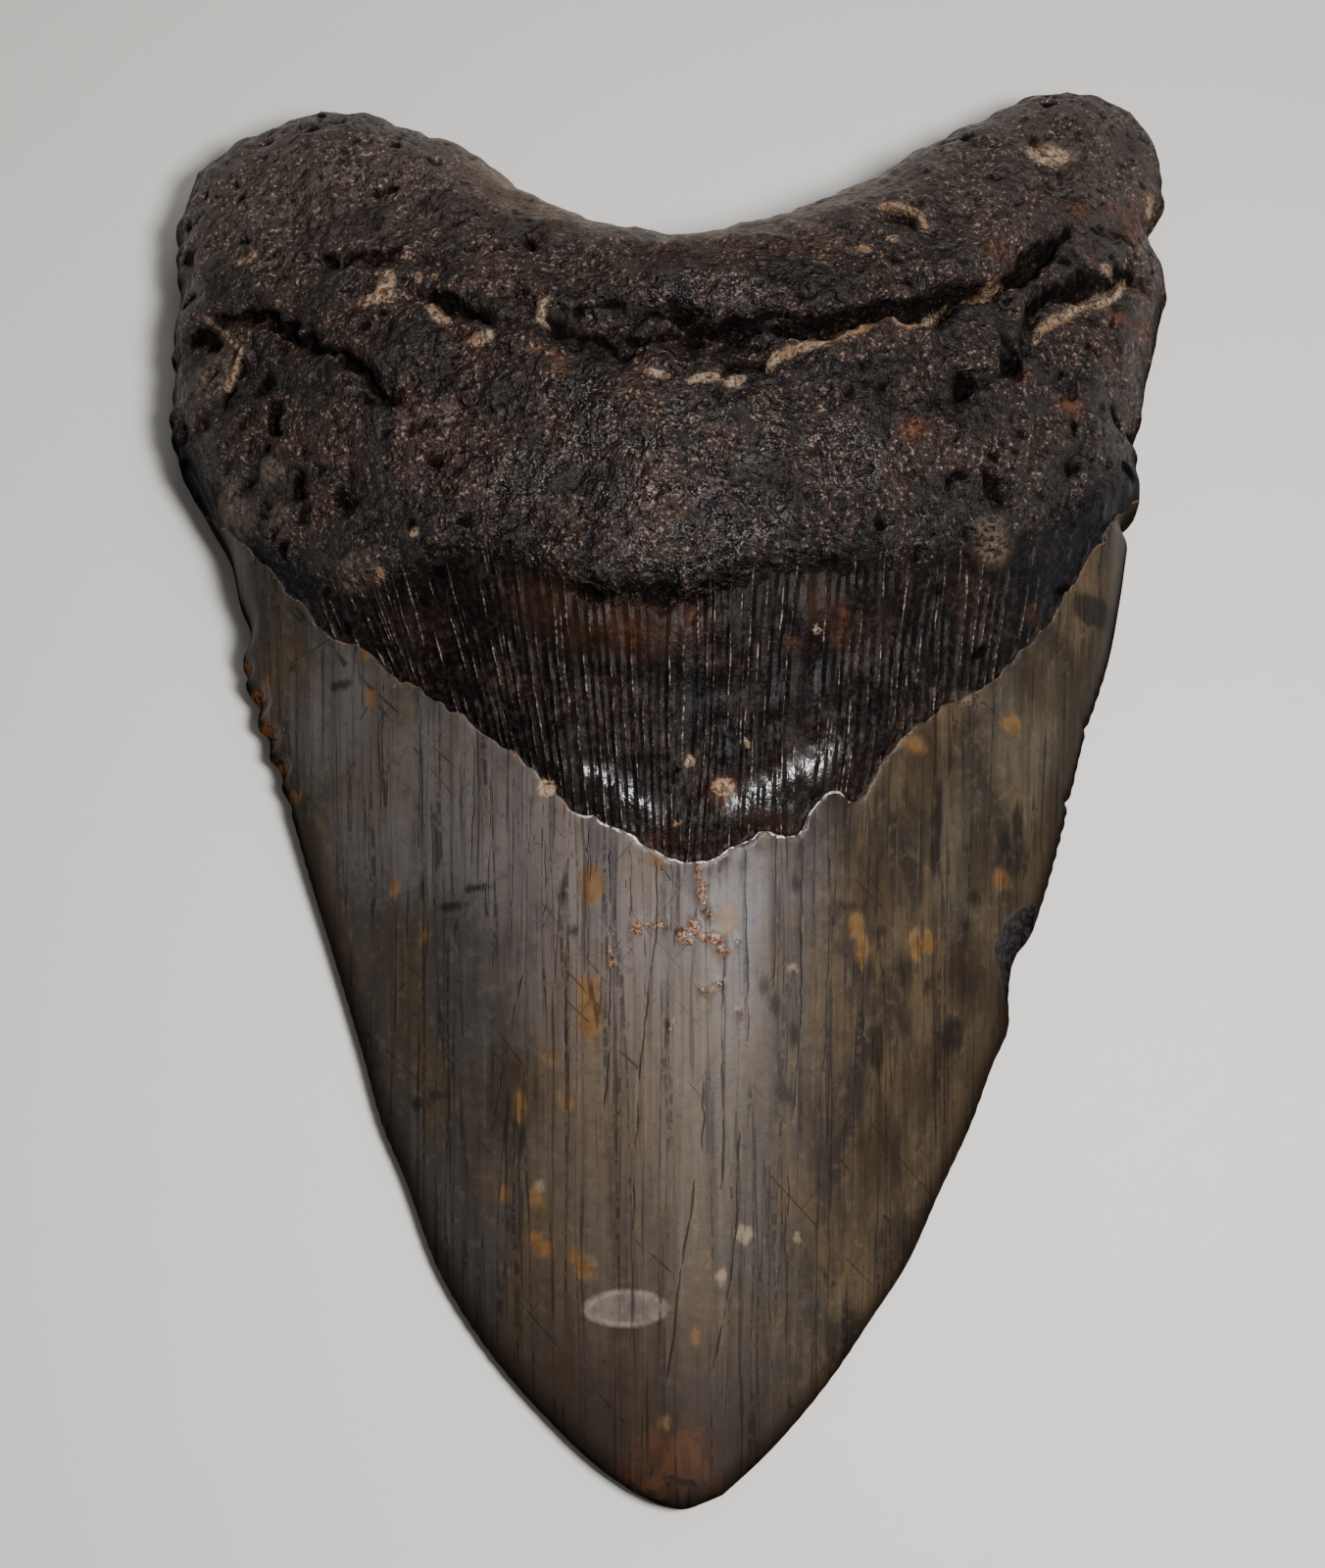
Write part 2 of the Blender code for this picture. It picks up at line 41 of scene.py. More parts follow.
# The outline from above, in millimetres. Its four edges bound the grid of both faces, and their ends meet.
BASAL_EDGE = [
    (-43.1, 53.9), (-39.8, 56.7), (-35.2, 58.7), (-29.8, 59.3), (-23.2, 57.6), (-17.0, 54.2),
    (-11.9, 50.2), (-7.3, 47.6), (-3.7, 45.7), (0.7, 45.0), (6.8, 46.6), (13.5, 49.6),
    (17.4, 51.8), (23.2, 55.9), (28.6, 58.9), (33.0, 61.4), (38.4, 61.8), (42.6, 60.2),
]
LEFT_EDGE = [
    (-43.1, 53.9), (-44.2, 49.6), (-44.3, 41.0), (-44.2, 33.4), (-43.9, 28.6), (-42.1, 23.2),
    (-40.4, 20.1), (-38.6, 17.0), (-37.6, 13.0), (-36.6, 10.1), (-37.3, 8.4), (-36.6, 4.7),
    (-35.0, 0.3), (-32.9, -4.7), (-30.9, -10.9), (-28.4, -18.3), (-25.9, -25.9), (-24.0, -32.0),
    (-22.1, -36.2), (-18.9, -44.1), (-14.4, -50.8), (-10.3, -55.3), (-5.3, -59.8), (-2.9, -61.4),
]
RIGHT_EDGE = [
    (42.6, 60.2), (44.9, 56.2), (44.9, 50.6), (43.7, 46.7), (44.4, 44.5), (43.6, 36.9),
    (42.4, 32.1), (41.5, 28.4), (41.8, 23.4), (40.8, 20.0), (39.7, 13.7), (38.7, 8.8),
    (36.2, 1.4), (34.1, -6.5), (31.9, -13.4), (30.9, -15.9), (29.6, -17.6), (28.9, -20.8),
    (28.8, -23.6), (27.4, -26.7), (25.3, -31.9), (22.6, -37.3), (19.5, -43.6), (16.5, -47.9),
    (13.6, -52.0), (10.7, -55.5), (7.4, -58.9), (4.3, -61.6),
]
TIP_EDGE = [(-2.9, -61.4), (-0.6, -62.4), (1.2, -62.7), (2.8, -62.2), (4.3, -61.6)]

# The sides without their chips, from tip to root, as (y, left x, right x). The vault follows them.
SIDES = np.array([
    (-66.0, -7.0, 8.0), (-55.0, -12.2, 13.2), (-45.0, -18.2, 18.8), (-30.0, -24.6, 26.2),
    (-15.0, -29.5, 31.6), (0.0, -34.8, 36.0), (10.0, -37.8, 39.0), (20.0, -40.2, 40.8),
    (30.0, -43.4, 42.2), (50.0, -44.2, 44.8), (66.0, -44.0, 45.0),
])

# Cross-sections from tip to root, as (y, lingual height on the middle line, the same at the sides, how much
# it flattens towards the sides, height of the rim, rounding above the rim, rounding below it, lift of the
# labial face at the sides, hollow of its middle).
SECTIONS = np.array([
    (-66.0, 3.2, 2.7, 0.0, 2.2, 0.9, 1.2, 1.4, 0.6),
    (-58.0, 5.6, 2.8, 0.1, 2.3, 0.9, 1.2, 1.6, 0.3),
    (-50.0, 8.0, 2.9, 0.15, 2.4, 0.9, 1.2, 1.9, 0.1),
    (-36.0, 11.8, 3.1, 0.2, 2.6, 0.9, 1.2, 2.2, 0.0),
    (-20.0, 16.0, 3.3, 0.2, 2.8, 0.9, 1.3, 2.3, 0.0),
    (-10.0, 18.8, 3.7, 0.15, 3.0, 1.0, 1.4, 2.3, 0.2),
    (-2.0, 21.4, 4.6, 0.1, 3.3, 1.3, 1.7, 2.1, 0.5),
    (6.0, 24.2, 5.6, 0.1, 3.9, 1.5, 2.0, 1.9, 0.8),
    (14.0, 26.6, 7.6, 0.05, 4.8, 2.0, 3.0, 1.4, 1.0),
    (22.0, 27.3, 10.6, 0.0, 6.0, 3.8, 4.6, 0.9, 1.1),
    (30.0, 26.4, 12.9, 0.0, 6.9, 6.8, 6.0, 0.7, 1.2),
    (38.0, 24.0, 13.6, -0.1, 7.2, 8.5, 6.5, 0.6, 1.2),
    (46.0, 20.6, 13.2, -0.2, 7.2, 9.0, 6.5, 0.6, 0.9),
    (54.0, 17.8, 12.6, -0.3, 7.2, 9.0, 6.5, 0.6, 0.5),
    (66.0, 15.0, 12.0, -0.3, 7.2, 9.0, 6.5, 0.6, 0.2),
])
# How much is cut off where the tooth rests, and how far each face stands from the rim at least.
RESTING_CUT, LEAST_RISE = 0.15, 0.35
# How sharply the labial face turns up at its sides, its step, and its pores as (spacing, radius, depth).
LABIAL_TURN, LABIAL_STEP = 2.6, 0.15
LABIAL_PORES = (1.7, 0.4, 0.3)

# Where the root ends over the bourlette, and where the enamel of the crown begins.
ROOT_LEDGE = np.array([
    (-46.0, 31.0), (-43.0, 28.4), (-38.2, 20.8), (-32.9, 15.3), (-27.1, 11.9), (-20.2, 11.9),
    (-14.5, 12.1), (-9.7, 9.9), (-4.9, 8.1), (-0.2, 7.0), (4.5, 9.0), (9.2, 10.1), (14.0, 11.1),
    (21.4, 12.4), (25.6, 14.2), (30.0, 15.8), (34.6, 19.2), (39.8, 25.0), (46.0, 33.0),
])
ENAMEL_EDGE = np.array([
    (-46.0, 27.0), (-35.5, 15.8), (-32.3, 12.2), (-28.5, 7.8), (-25.4, 6.5), (-22.6, 3.6),
    (-19.5, 1.6), (-15.3, -1.7), (-11.7, -4.5), (-10.1, -6.4), (-7.1, -8.9), (-3.5, -10.4),
    (-0.9, -12.1), (1.3, -12.6), (3.7, -12.4), (6.9, -10.5), (10.4, -9.8), (12.4, -7.4),
    (16.1, -6.5), (17.7, -3.7), (22.3, 0.7), (27.1, 3.9), (29.3, 6.4), (32.4, 9.7), (35.6, 15.0),
    (39.2, 20.0), (46.0, 28.0),
])
LABIAL_EDGE = np.array([
    (-46.0, 24.0), (-37.0, 16.5), (-26.0, 18.5), (-12.0, 15.5), (0.0, 14.0), (13.0, 16.0),
    (27.0, 20.0), (38.0, 19.0), (46.0, 26.0),
])
# How high the root and the enamel stand over the bourlette, and how wide the steps are.
LEDGE_HEIGHT, ENAMEL_HEIGHT, STEP_WIDTH = 0.9, 0.45, 0.4
# The raised lip of the enamel, how far it reaches from the middle, and how it is broken, as (size, share).
LIP_HEIGHT, LIP_WIDTH, LIP_REACH = 0.06, 0.2, 20.0
LIP_BREAKS = [(1.3, 0.8)]
# How far the broken rim of the enamel strays from its smooth line, as (size, reach).
RIM_STRAY = [(1.5, 0.3), (0.6, 0.14)]
# How far the ledge reaches from the middle, and how softly it ends there.
LEDGE_REACH, LEDGE_FADE = 31.0, 7.0
# How much wider the ledge's step is at the sides, and how far out that begins.
LEDGE_SPREAD, LEDGE_STEEP_TO = 2.4, 13.0
# How the ledge strays, and how the edge of the flaked root does, as (size, reach), and how wide that edge is.
LEDGE_STRAY, FLAKED_STRAY, FLAKED_EDGE = [(2.2, 0.7)], [(1.7, 0.9)], 1.8

# Lines on the lingual face, as (width, depth, points). A negative depth is a ridge.
GROOVES = [
    (0.72, 2.2, [(34.8, 44.4), (32.3, 40.9), (28.9, 37.7), (24.0, 34.7), (20.9, 32.5), (16.3, 31.2),
                (12.4, 30.4), (8.3, 30.4), (5.5, 29.6), (1.7, 30.4), (-2.6, 31.1), (-6.6, 30.4)]),
    (1.7, 1.3, [(-11.0, 30.6), (-5.8, 29.2), (-1.0, 28.9), (3.0, 28.3), (8.4, 28.2)]),
    (0.62, 1.3, [(42.5, 43.0), (37.2, 38.6), (32.0, 36.2), (30.8, 33.0), (28.5, 29.6), (23.7, 25.5),
                (20.9, 23.6)]),
    (0.6, 1.2, [(-41.5, 37.4), (-35.6, 35.2), (-32.4, 33.5), (-29.2, 31.0), (-26.1, 28.0),
                (-23.1, 25.4), (-19.6, 22.0)]),
    (0.6, 0.9, [(-32.0, 40.4), (-30.0, 39.4), (-25.3, 38.4), (-20.0, 37.6), (-17.0, 35.8)]),
    (0.6, 1.2, [(-22.4, 35.0), (-20.4, 34.0), (-17.1, 32.2), (-13.6, 30.6)]),
    (0.6, 0.9, [(-15.0, 33.6), (-11.7, 32.4), (-9.8, 31.2), (-7.6, 31.6)]),
    (1.9, -1.0, [(33.0, 45.6), (28.0, 41.4), (22.0, 37.4), (15.0, 34.8), (8.0, 33.6), (0.0, 34.4),
                 (-8.0, 34.2)]),
    (1.1, -0.5, [(29.0, 35.6), (24.0, 32.6), (18.4, 29.8), (12.4, 27.4), (7.0, 25.6), (0.0, 25.4)]),
    (0.8, -0.6, [(-41.2, 35.4), (-38.3, 35.0), (-36.2, 33.2), (-36.6, 30.6)]),
    (2.4, -0.9, [(-14.0, -0.4), (-9.7, -3.6), (-6.5, -6.2), (-3.0, -8.2), (1.5, -9.6), (5.0, -8.8),
                 (8.6, -7.0), (11.8, -5.2), (15.4, -2.6), (20.0, 1.2)]),
]
# How many widths a line reaches, the share of its length that fades out, and how unevenly wide it is.
GROOVE_REACH, END_FADE = 3, 0.14
UNEVEN = [(1.9, 0.4)]

# Finer lines that the CAD leaves out: broken layers in the hollow, the lips of the cracks and a growth line.
FINE_GROOVES = [
    (0.45, 0.7, [(-8.0, 31.7), (-6.5, 31.8), (-4.8, 31.8), (-3.4, 31.5)]),
    (0.4, 0.7, [(-7.9, 29.9), (-6.5, 29.5), (-5.2, 28.9), (-3.9, 27.6), (-2.5, 27.5), (-1.1, 27.0)]),
    (0.45, 0.8, [(-3.4, 30.1), (-2.5, 29.3), (-1.1, 28.6), (0.4, 28.4), (1.8, 28.8), (3.1, 29.6)]),
    (0.4, 0.6, [(-0.8, 31.7), (0.4, 31.5), (1.6, 31.3), (2.8, 31.4), (3.8, 30.8)]),
    (0.5, 0.9, [(3.7, 30.1), (5.4, 30.4), (6.7, 30.6), (7.7, 31.2), (9.3, 31.6), (11.8, 31.1)]),
    (0.6, 0.7, [(4.0, 25.5), (5.9, 25.6), (7.6, 26.8)]),
    (0.45, 0.7, [(-30.0, 40.5), (-29.1, 40.0), (-28.5, 39.3)]),
    (0.5, 0.8, [(-27.7, 40.0), (-25.8, 39.4), (-23.7, 39.1), (-22.4, 39.3)]),
    (0.55, 0.9, [(-20.8, 34.7), (-18.9, 33.7), (-17.4, 33.0), (-16.5, 32.1), (-15.2, 31.4), (-14.2, 30.7)]),
    (0.3, 0.8, [(-40.3, 37.3), (-37.7, 36.7), (-35.7, 35.7), (-33.4, 34.7), (-31.4, 33.1), (-29.3, 31.6),
                 (-28.0, 30.0), (-26.2, 28.3), (-25.2, 27.4), (-23.3, 25.8), (-22.1, 24.8)]),
    (0.5, 1.1, [(35.1, 44.7), (34.1, 43.1), (33.0, 42.1), (30.0, 39.8), (28.4, 38.1), (26.8, 36.9),
                (24.9, 35.9), (22.1, 34.1), (17.9, 32.3), (14.4, 31.4), (11.0, 30.6), (8.6, 29.6)]),
    (0.5, 0.8, [(41.1, 42.9), (39.2, 40.8), (36.6, 39.1), (34.7, 37.9), (32.3, 36.7), (31.0, 35.4),
                (30.6, 33.0)]),
    (0.45, 0.7, [(29.5, 30.6), (28.0, 29.3)]),
    (0.45, 0.6, [(25.5, 27.1), (23.3, 25.6)]),
    (0.4, 0.7, [(-33.5, 27.9), (-33.1, 26.0), (-32.2, 24.2)]),
    (0.45, -0.06, [(-9.5, 6.5), (-6.8, 3.5), (-3.7, 0.8), (-1.2, -1.4), (1.2, -2.2), (3.5, -1.9), (5.2, -1.2),
                  (9.0, 1.0), (13.0, 4.0)]),
    (0.3, 0.3, [(-2.3, 22.6), (-2.1, 19.4), (-2.3, 15.0)]),
    (0.3, 0.35, [(3.8, 24.0), (4.3, 19.9), (4.0, 15.6)]),
    (0.25, -0.35, [(17.8, 43.2), (18.9, 43.7), (20.1, 43.5), (21.2, 42.6), (21.8, 41.5)]),
    (0.3, -0.4, [(-40.3, 36.8), (-38.5, 34.8), (-36.4, 32.3), (-36.9, 31.1), (-37.8, 29.6)]),
]

# Pits and lumps of the lingual face, as (x, y, radius, depth). A negative depth is a lump.
PITS = [
    (26.7, 18.4, 1.6, 1.3), (19.9, 42.2, 1.7, 0.9), (-3.0, 8.7, 1.2, 1.5), (-0.4, 8.2, 1.5, 1.7),
    (-6.3, 7.9, 0.8, 0.8), (2.4, 6.6, 0.9, 0.7), (28.5, 29.4, 1.2, 0.9), (24.3, 26.1, 1.1, 0.8),
    (22.7, 24.0, 1.0, 0.6), (38.6, 44.5, 1.1, 0.9), (-31.3, 19.9, 1.3, 0.9), (-18.7, 19.1, 0.9, 0.7),
    (-26.1, 17.7, 1.1, 0.7), (-40.1, 34.6, 2.0, 1.0), (-38.0, 27.7, 1.7, 0.7), (-34.9, 24.0, 1.6, 0.8),
    (-36.0, 21.6, 1.2, 0.6), (35.6, 30.0, 1.3, 0.6), (33.5, 51.4, 2.2, 0.6), (-36.5, 40.8, 1.2, 0.5),
    (23.8, 51.9, 2.0, -0.6), (-32.8, 17.6, 1.8, -0.5), (-25.4, 12.6, 1.6, -0.6), (27.2, 14.8, 1.9, -0.6),
    (3.5, 38.0, 4.0, -0.4), (-12.0, 42.0, 5.0, 0.5), (14.0, 40.5, 3.4, -0.4), (-27.0, 47.0, 6.0, -0.5),
    (31.0, 24.0, 4.0, -0.4), (-22.0, 27.0, 4.5, -0.4),
]
PIT_STEEPNESS = 1.5

# Smaller pits that the CAD leaves out, as (x, y, half width, half height), and how deep they go.
FINE_PITS = [
    (-8.9, 29.9, 1.1, 1.2), (-40.8, 35.3, 1.8, 0.76), (-32.9, 25.9, 0.5, 1.3), (-41.8, 27.5, 0.59, 1.0),
    (-6.2, 7.8, 1.2, 0.42), (-1.6, 7.9, 2.2, 0.76), (-0.2, 6.3, 0.42, 0.34), (21.8, 34.2, 0.76, 0.76),
    (38.0, 44.6, 0.34, 0.67), (25.2, 35.5, 0.34, 0.34), (40.2, 42.7, 0.67, 0.42), (-37.5, 28.9, 0.5, 0.67),
    (-35.8, 26.1, 0.67, 0.67), (-34.8, 28.5, 0.5, 0.76), (-37.8, 23.7, 0.84, 0.67), (-36.2, 21.3, 0.67, 0.67),
    (-31.3, 20.0, 0.76, 0.67), (-26.1, 17.6, 0.67, 0.59), (-18.6, 18.9, 0.67, 0.59), (-16.7, 19.0, 0.5, 0.5),
    (-28.6, 20.9, 0.59, 0.59), (-34.1, 23.5, 0.59, 0.67), (-22.9, 21.9, 0.5, 0.5), (30.7, 22.7, 0.76, 0.67),
    (34.4, 22.2, 0.67, 0.67), (26.1, 18.6, 0.7, 1.0), (19.8, 42.3, 0.92, 0.6), (28.8, 23.7, 0.5, 0.5),
    (32.8, 29.5, 0.5, 0.42), (36.6, 32.3, 0.67, 0.5), (38.7, 28.2, 0.59, 0.59), (-6.6, 34.0, 0.42, 0.34),
    (-16.6, 39.0, 0.42, 0.34), (-32.5, 45.6, 0.42, 0.34), (31.0, 45.5, 0.5, 0.34),
]
FINE_PIT_DEPTH = 0.55

# Where the bourlette is polished and shines, as lines of (x, y, half width).
POLISHED = [
    [(-7.2, -5.4, 0.6), (-5.7, -6.3, 1.2), (-4.3, -7.4, 1.4), (-2.8, -8.5, 1.2), (-1.4, -9.6, 0.7)],
    [(5.6, -8.4, 0.9), (7.2, -7.7, 1.3), (9.1, -6.9, 1.4), (10.9, -5.6, 1.3), (12.3, -4.2, 0.8),
     (13.3, -2.7, 0.4)],
]

# The shallow channel along the middle of the bourlette, as (width, depth, points).
CHANNEL = [
    (3.4, 1.1, [(-30.0, 13.0), (-24.0, 9.0), (-16.0, 5.4), (-8.0, 2.0), (0.0, 0.2), (8.0, 1.2), (16.0, 4.5),
                (24.0, 8.8), (30.0, 12.0)]),
]

# The flake broken from the right cutting edge, and how uneven it is, as (size, share).
CHIP_CENTRE, CHIP_REACH, CHIP_DEPTH = (31.0, -17.6), (3.6, 4.4), 1.25
CHIP_UNEVEN = [(1.4, 0.3)]

# Notches of the cutting edges, as (side, y, reach, depth). The side is 1 on the left and -1 on the right.
NOTCHES = [
    (1.0, 7.0, 0.5, 0.35), (1.0, 4.2, 0.9, 0.7), (1.0, 1.2, 0.8, 0.6), (1.0, -1.6, 0.9, 0.55),
    (1.0, -4.4, 0.6, 0.3), (-1.0, 19.6, 0.8, 0.9), (-1.0, -4.2, 0.5, 0.35), (-1.0, 2.4, 0.5, 0.25),
]
# Where flakes have broken from the left cutting edge, as (x, y, half width, half height).
EDGE_CHIPS = [
    (-35.8, 4.2, 1.5, 1.3), (-34.9, 1.2, 1.6, 1.2), (-34.0, -1.6, 1.5, 1.1), (-36.9, 7.2, 0.9, 0.8),
]
EDGE_CHIP_DEPTH, EDGE_CHIP_WALL = 0.7, 0.7

# Random lumps of the root, as (size, height).
ROOT_LUMPS = [(9.0, 0.65), (4.5, 0.5), (2.4, 0.3)]
FINE_LUMPS = [(1.25, 0.2), (0.7, 0.15)]
# How much of the fine lumps the bourlette has.
BAND_ROUGHNESS = 0.12
# Flaked layers of the root, as (size, height).
FLAKED = [(3.4, 0.2), (1.7, 0.12)]
# How far the cracks of the root stray from their smooth lines, as (size, reach).
STRAY = [(3.2, 0.5), (1.3, 0.4), (0.65, 0.24)]
# Bumps of the root's outline, as (size, height).
EDGE_BUMPS = [(2.6, 0.3), (1.1, 0.2)]
EDGE_FADE = 0.06
# Where on the sides the bumps begin, and over how far.
SIDE_BUMPS_FROM, SIDE_BUMPS_FADE = 22.0, 6.0
# The worn serrations: where they are clearest, over what length, and where on the crown they end.
SERRATION_HEIGHT, SERRATION_SPACING = 0.1, 1.3
CLEAREST_AT, CLEAREST_REACH = -1.0, 9.0
SERRATED_TO, SERRATED_FROM, SERRATED_FADE = 9.0, -58.0, 6.0
# Lumps of the labial face, as (size, height), and waves of the enamel, as (width, length, height).
LABIAL_LUMPS = [(5.0, 0.3), (2.6, 0.15), (1.25, 0.12)]
CROWN_WAVES = (2.6, 17.0, 0.07)
# The ribs of the bourlette, and the height on the tooth where their spacing is measured.
RIB_SPACING, RIB_WIDTH, RIB_HEIGHT, RIB_TOP = 1.75, 0.19, 0.12, 12.0
# How they spread up to that height, how much more on the left and less on the right, and how they sway.
RIB_SPREAD, RIB_SKEW, RIB_SWAY = 0.010, 0.005, 0.9
# Where the fainter ribs between them are clearest, and over what length.
CROWDED_AT, CROWDED_REACH = 20.0, 6.0
# Where the main and the two fainter sets of ribs run, as shares of the spacing, and what breaks each set, as
# (size of clouds, level where it begins to show, level where it shows whole).
RIB_OFFSETS = (0.0, 0.5, 0.27)
RIB_BREAKS = [(0.9, 0.43, 0.55), (1.3, 0.5, 0.6), (1.6, 0.56, 0.65)]
# How many fine lines the enamel has to a millimetre across.
ENAMEL_LINES = 0.8
# Scattered pores of the root, as (spacing, radius, depth).
PORES = [(1.2, 0.36, 0.4), (3.1, 0.7, 0.8)]
# How small the smallest is, and how far from the middle, and over what length, they open.
LEAST_PORE, OPEN_FROM, OPEN_OVER = 0.35, 13.0, 12.0

# Cracks in the enamel, as (strength, points).
CRACKS = [
    (0.8, [(-4.9, -12.1), (-4.7, -17.3), (-4.8, -22.6), (-4.9, -27.8), (-5.3, -32.1)]),
    (0.8, [(-1.1, -13.1), (-1.0, -17.3), (-1.7, -22.6), (-2.1, -26.9), (-2.5, -31.2), (-2.7, -34.7),
           (-2.9, -40.7)]),
    (1.0, [(4.4, -19.7), (4.2, -24.8), (4.2, -29.3), (4.3, -33.9), (4.2, -37.6)]),
    (0.9, [(5.6, -33.9), (5.2, -41.7), (4.6, -46.7), (3.5, -51.3)]),
    (0.9, [(2.0, -37.7), (1.5, -40.7), (0.9, -44.7), (0.6, -47.0), (-0.2, -52.4)]),
    (0.8, [(10.7, -13.9), (10.6, -19.7), (10.6, -23.1), (10.4, -27.6), (9.8, -32.8)]),
    (0.7, [(16.0, -8.2), (15.9, -13.5), (15.9, -18.1), (15.8, -25.5)]),
    (0.9, [(-8.3, -18.0), (-8.4, -21.6), (-8.3, -27.7)]),
    (0.6, [(2.7, -29.5), (2.7, -32.4), (2.6, -34.7)]),
    (0.7, [(0.1, -12.7), (0.2, -14.7), (0.1, -17.6)]),
    (0.6, [(-6.4, -10.0), (-6.4, -13.8)]),
    (0.7, [(-3.1, -12.2), (-3.1, -16.5)]),
    (0.7, [(-12.0, -21.2), (-12.9, -25.1), (-13.8, -29.6), (-14.6, -33.4)]),
    (0.7, [(-12.4, -32.8), (-12.9, -37.4), (-12.9, -42.1)]),
    (0.8, [(9.6, -36.0), (9.6, -39.8)]),
    (0.6, [(8.0, -45.2), (8.0, -48.0)]),
    (0.5, [(-4.5, -19.5), (-4.1, -18.9), (-3.4, -18.3)]),
    (0.6, [(22.6, -3.5), (22.6, -8.9), (22.0, -12.8)]),
    (0.5, [(-21.4, -20.2), (-23.3, -21.8), (-25.3, -23.7)]),
    (0.6, [(24.3, -16.9), (22.9, -18.6)]),
    (0.5, [(6.0, -12.0), (6.2, -18.7), (6.3, -26.3)]),
    (0.6, [(13.0, -12.2), (12.9, -18.3), (12.6, -26.0), (12.1, -32.1)]),
    (0.5, [(18.6, -8.6), (18.5, -15.5), (18.2, -22.5)]),
    (0.5, [(-10.0, -10.8), (-10.0, -16.1)]),
    (0.5, [(-14.5, -5.9), (-14.7, -11.1), (-15.1, -16.5)]),
    (0.5, [(-17.0, -2.6), (-17.2, -8.6)]),
    (0.7, [(-28.5, 7.6), (-29.7, 7.2), (-31.3, 6.7), (-33.0, 6.2)]),
    (0.6, [(-23.6, 3.2), (-23.9, -2.8), (-24.0, -7.0)]),
    (0.6, [(-20.4, 1.0), (-20.6, -4.6), (-20.7, -10.2)]),
    (0.5, [(-18.8, -0.6), (-18.9, -7.2)]),
    (0.6, [(-15.8, -3.0), (-16.0, -8.0), (-16.2, -12.6)]),
    (0.5, [(-12.6, -6.0), (-12.7, -12.4), (-12.9, -18.0)]),
    (0.6, [(-11.2, -7.4), (-11.4, -13.4)]),
    (0.6, [(20.4, -3.4), (20.5, -10.4), (20.4, -17.8)]),
    (0.5, [(25.0, 0.4), (24.9, -6.0), (24.4, -12.0)]),
    (0.6, [(24.6, 2.1), (26.4, 1.8), (27.8, 1.1)]),
    (0.6, [(15.0, -20.0), (14.8, -28.0), (14.4, -34.0)]),
    (0.5, [(8.6, -10.0), (8.5, -17.0), (8.4, -22.0)]),
]
# How wide and deep the cracks are, how far around them is looked at, and how they sway, as (size, reach).
CRACK_WIDTH, CRACK_DEPTH, CRACK_REACH = 0.13, 0.035, 1.2
CRACK_SWAY = [(0.9, 0.12)]
# Fine scratches that slant across the crown, as (slope, level of the clouds where they begin).
SCRATCHES = [(0.9, 0.52), (-0.8, 0.54)]

# Bare fossil bone in the breaks of the root, as lines of (x, y, half width).
TAN_BANDS = [
    [(28.4, 37.1, 0.5), (26.8, 36.1, 0.67), (25.3, 35.0, 0.5), (23.9, 34.6, 0.25), (22.7, 33.8, 0.34),
     (21.5, 32.3, 0.5), (20.5, 31.2, 0.42), (19.4, 30.6, 0.25), (17.8, 31.2, 0.25), (16.6, 30.6, 0.42),
     (15.0, 29.5, 0.5), (13.8, 29.6, 0.84), (12.1, 28.4, 0.42), (10.4, 28.2, 0.42), (8.7, 27.5, 0.5),
     (8.1, 26.3, 0.42)],
    [(40.1, 40.7, 0.25), (38.8, 38.9, 0.59), (37.2, 37.5, 0.76), (35.6, 37.1, 0.5), (34.0, 35.4, 0.34),
     (32.5, 34.3, 0.42), (31.5, 33.4, 0.25), (30.8, 32.0, 0.25)],
    [(-1.6, 25.1, 0.34), (-0.9, 24.9, 0.42), (-0.2, 24.7, 0.25)],
    [(1.6, 24.3, 0.34), (2.6, 24.4, 0.5), (3.7, 24.7, 0.42)],
    [(5.0, 24.3, 0.5), (5.8, 24.9, 0.42)],
    [(-23.4, 36.5, 0.59), (-23.6, 35.0, 0.84), (-24.3, 34.3, 0.5), (-25.3, 34.1, 0.5)],
    [(-19.9, 32.9, 0.34), (-19.1, 32.1, 0.59), (-18.4, 31.5, 0.42)],
    [(-15.9, 29.2, 0.5), (-14.9, 29.4, 0.67)],
    [(-10.1, 32.7, 0.34), (-10.4, 32.0, 0.34), (-10.5, 30.6, 0.42), (-9.9, 29.9, 0.25)],
    [(-37.2, 41.0, 0.5), (-36.0, 41.1, 0.59)],
    [(17.8, 43.2, 0.2), (18.9, 43.7, 0.25), (20.1, 43.5, 0.25), (21.2, 42.6, 0.25), (21.7, 41.5, 0.2)],
    [(-40.3, 36.8, 0.17), (-38.5, 34.8, 0.21), (-36.4, 32.3, 0.25), (-36.9, 31.1, 0.34),
     (-37.8, 29.6, 0.34)],
]

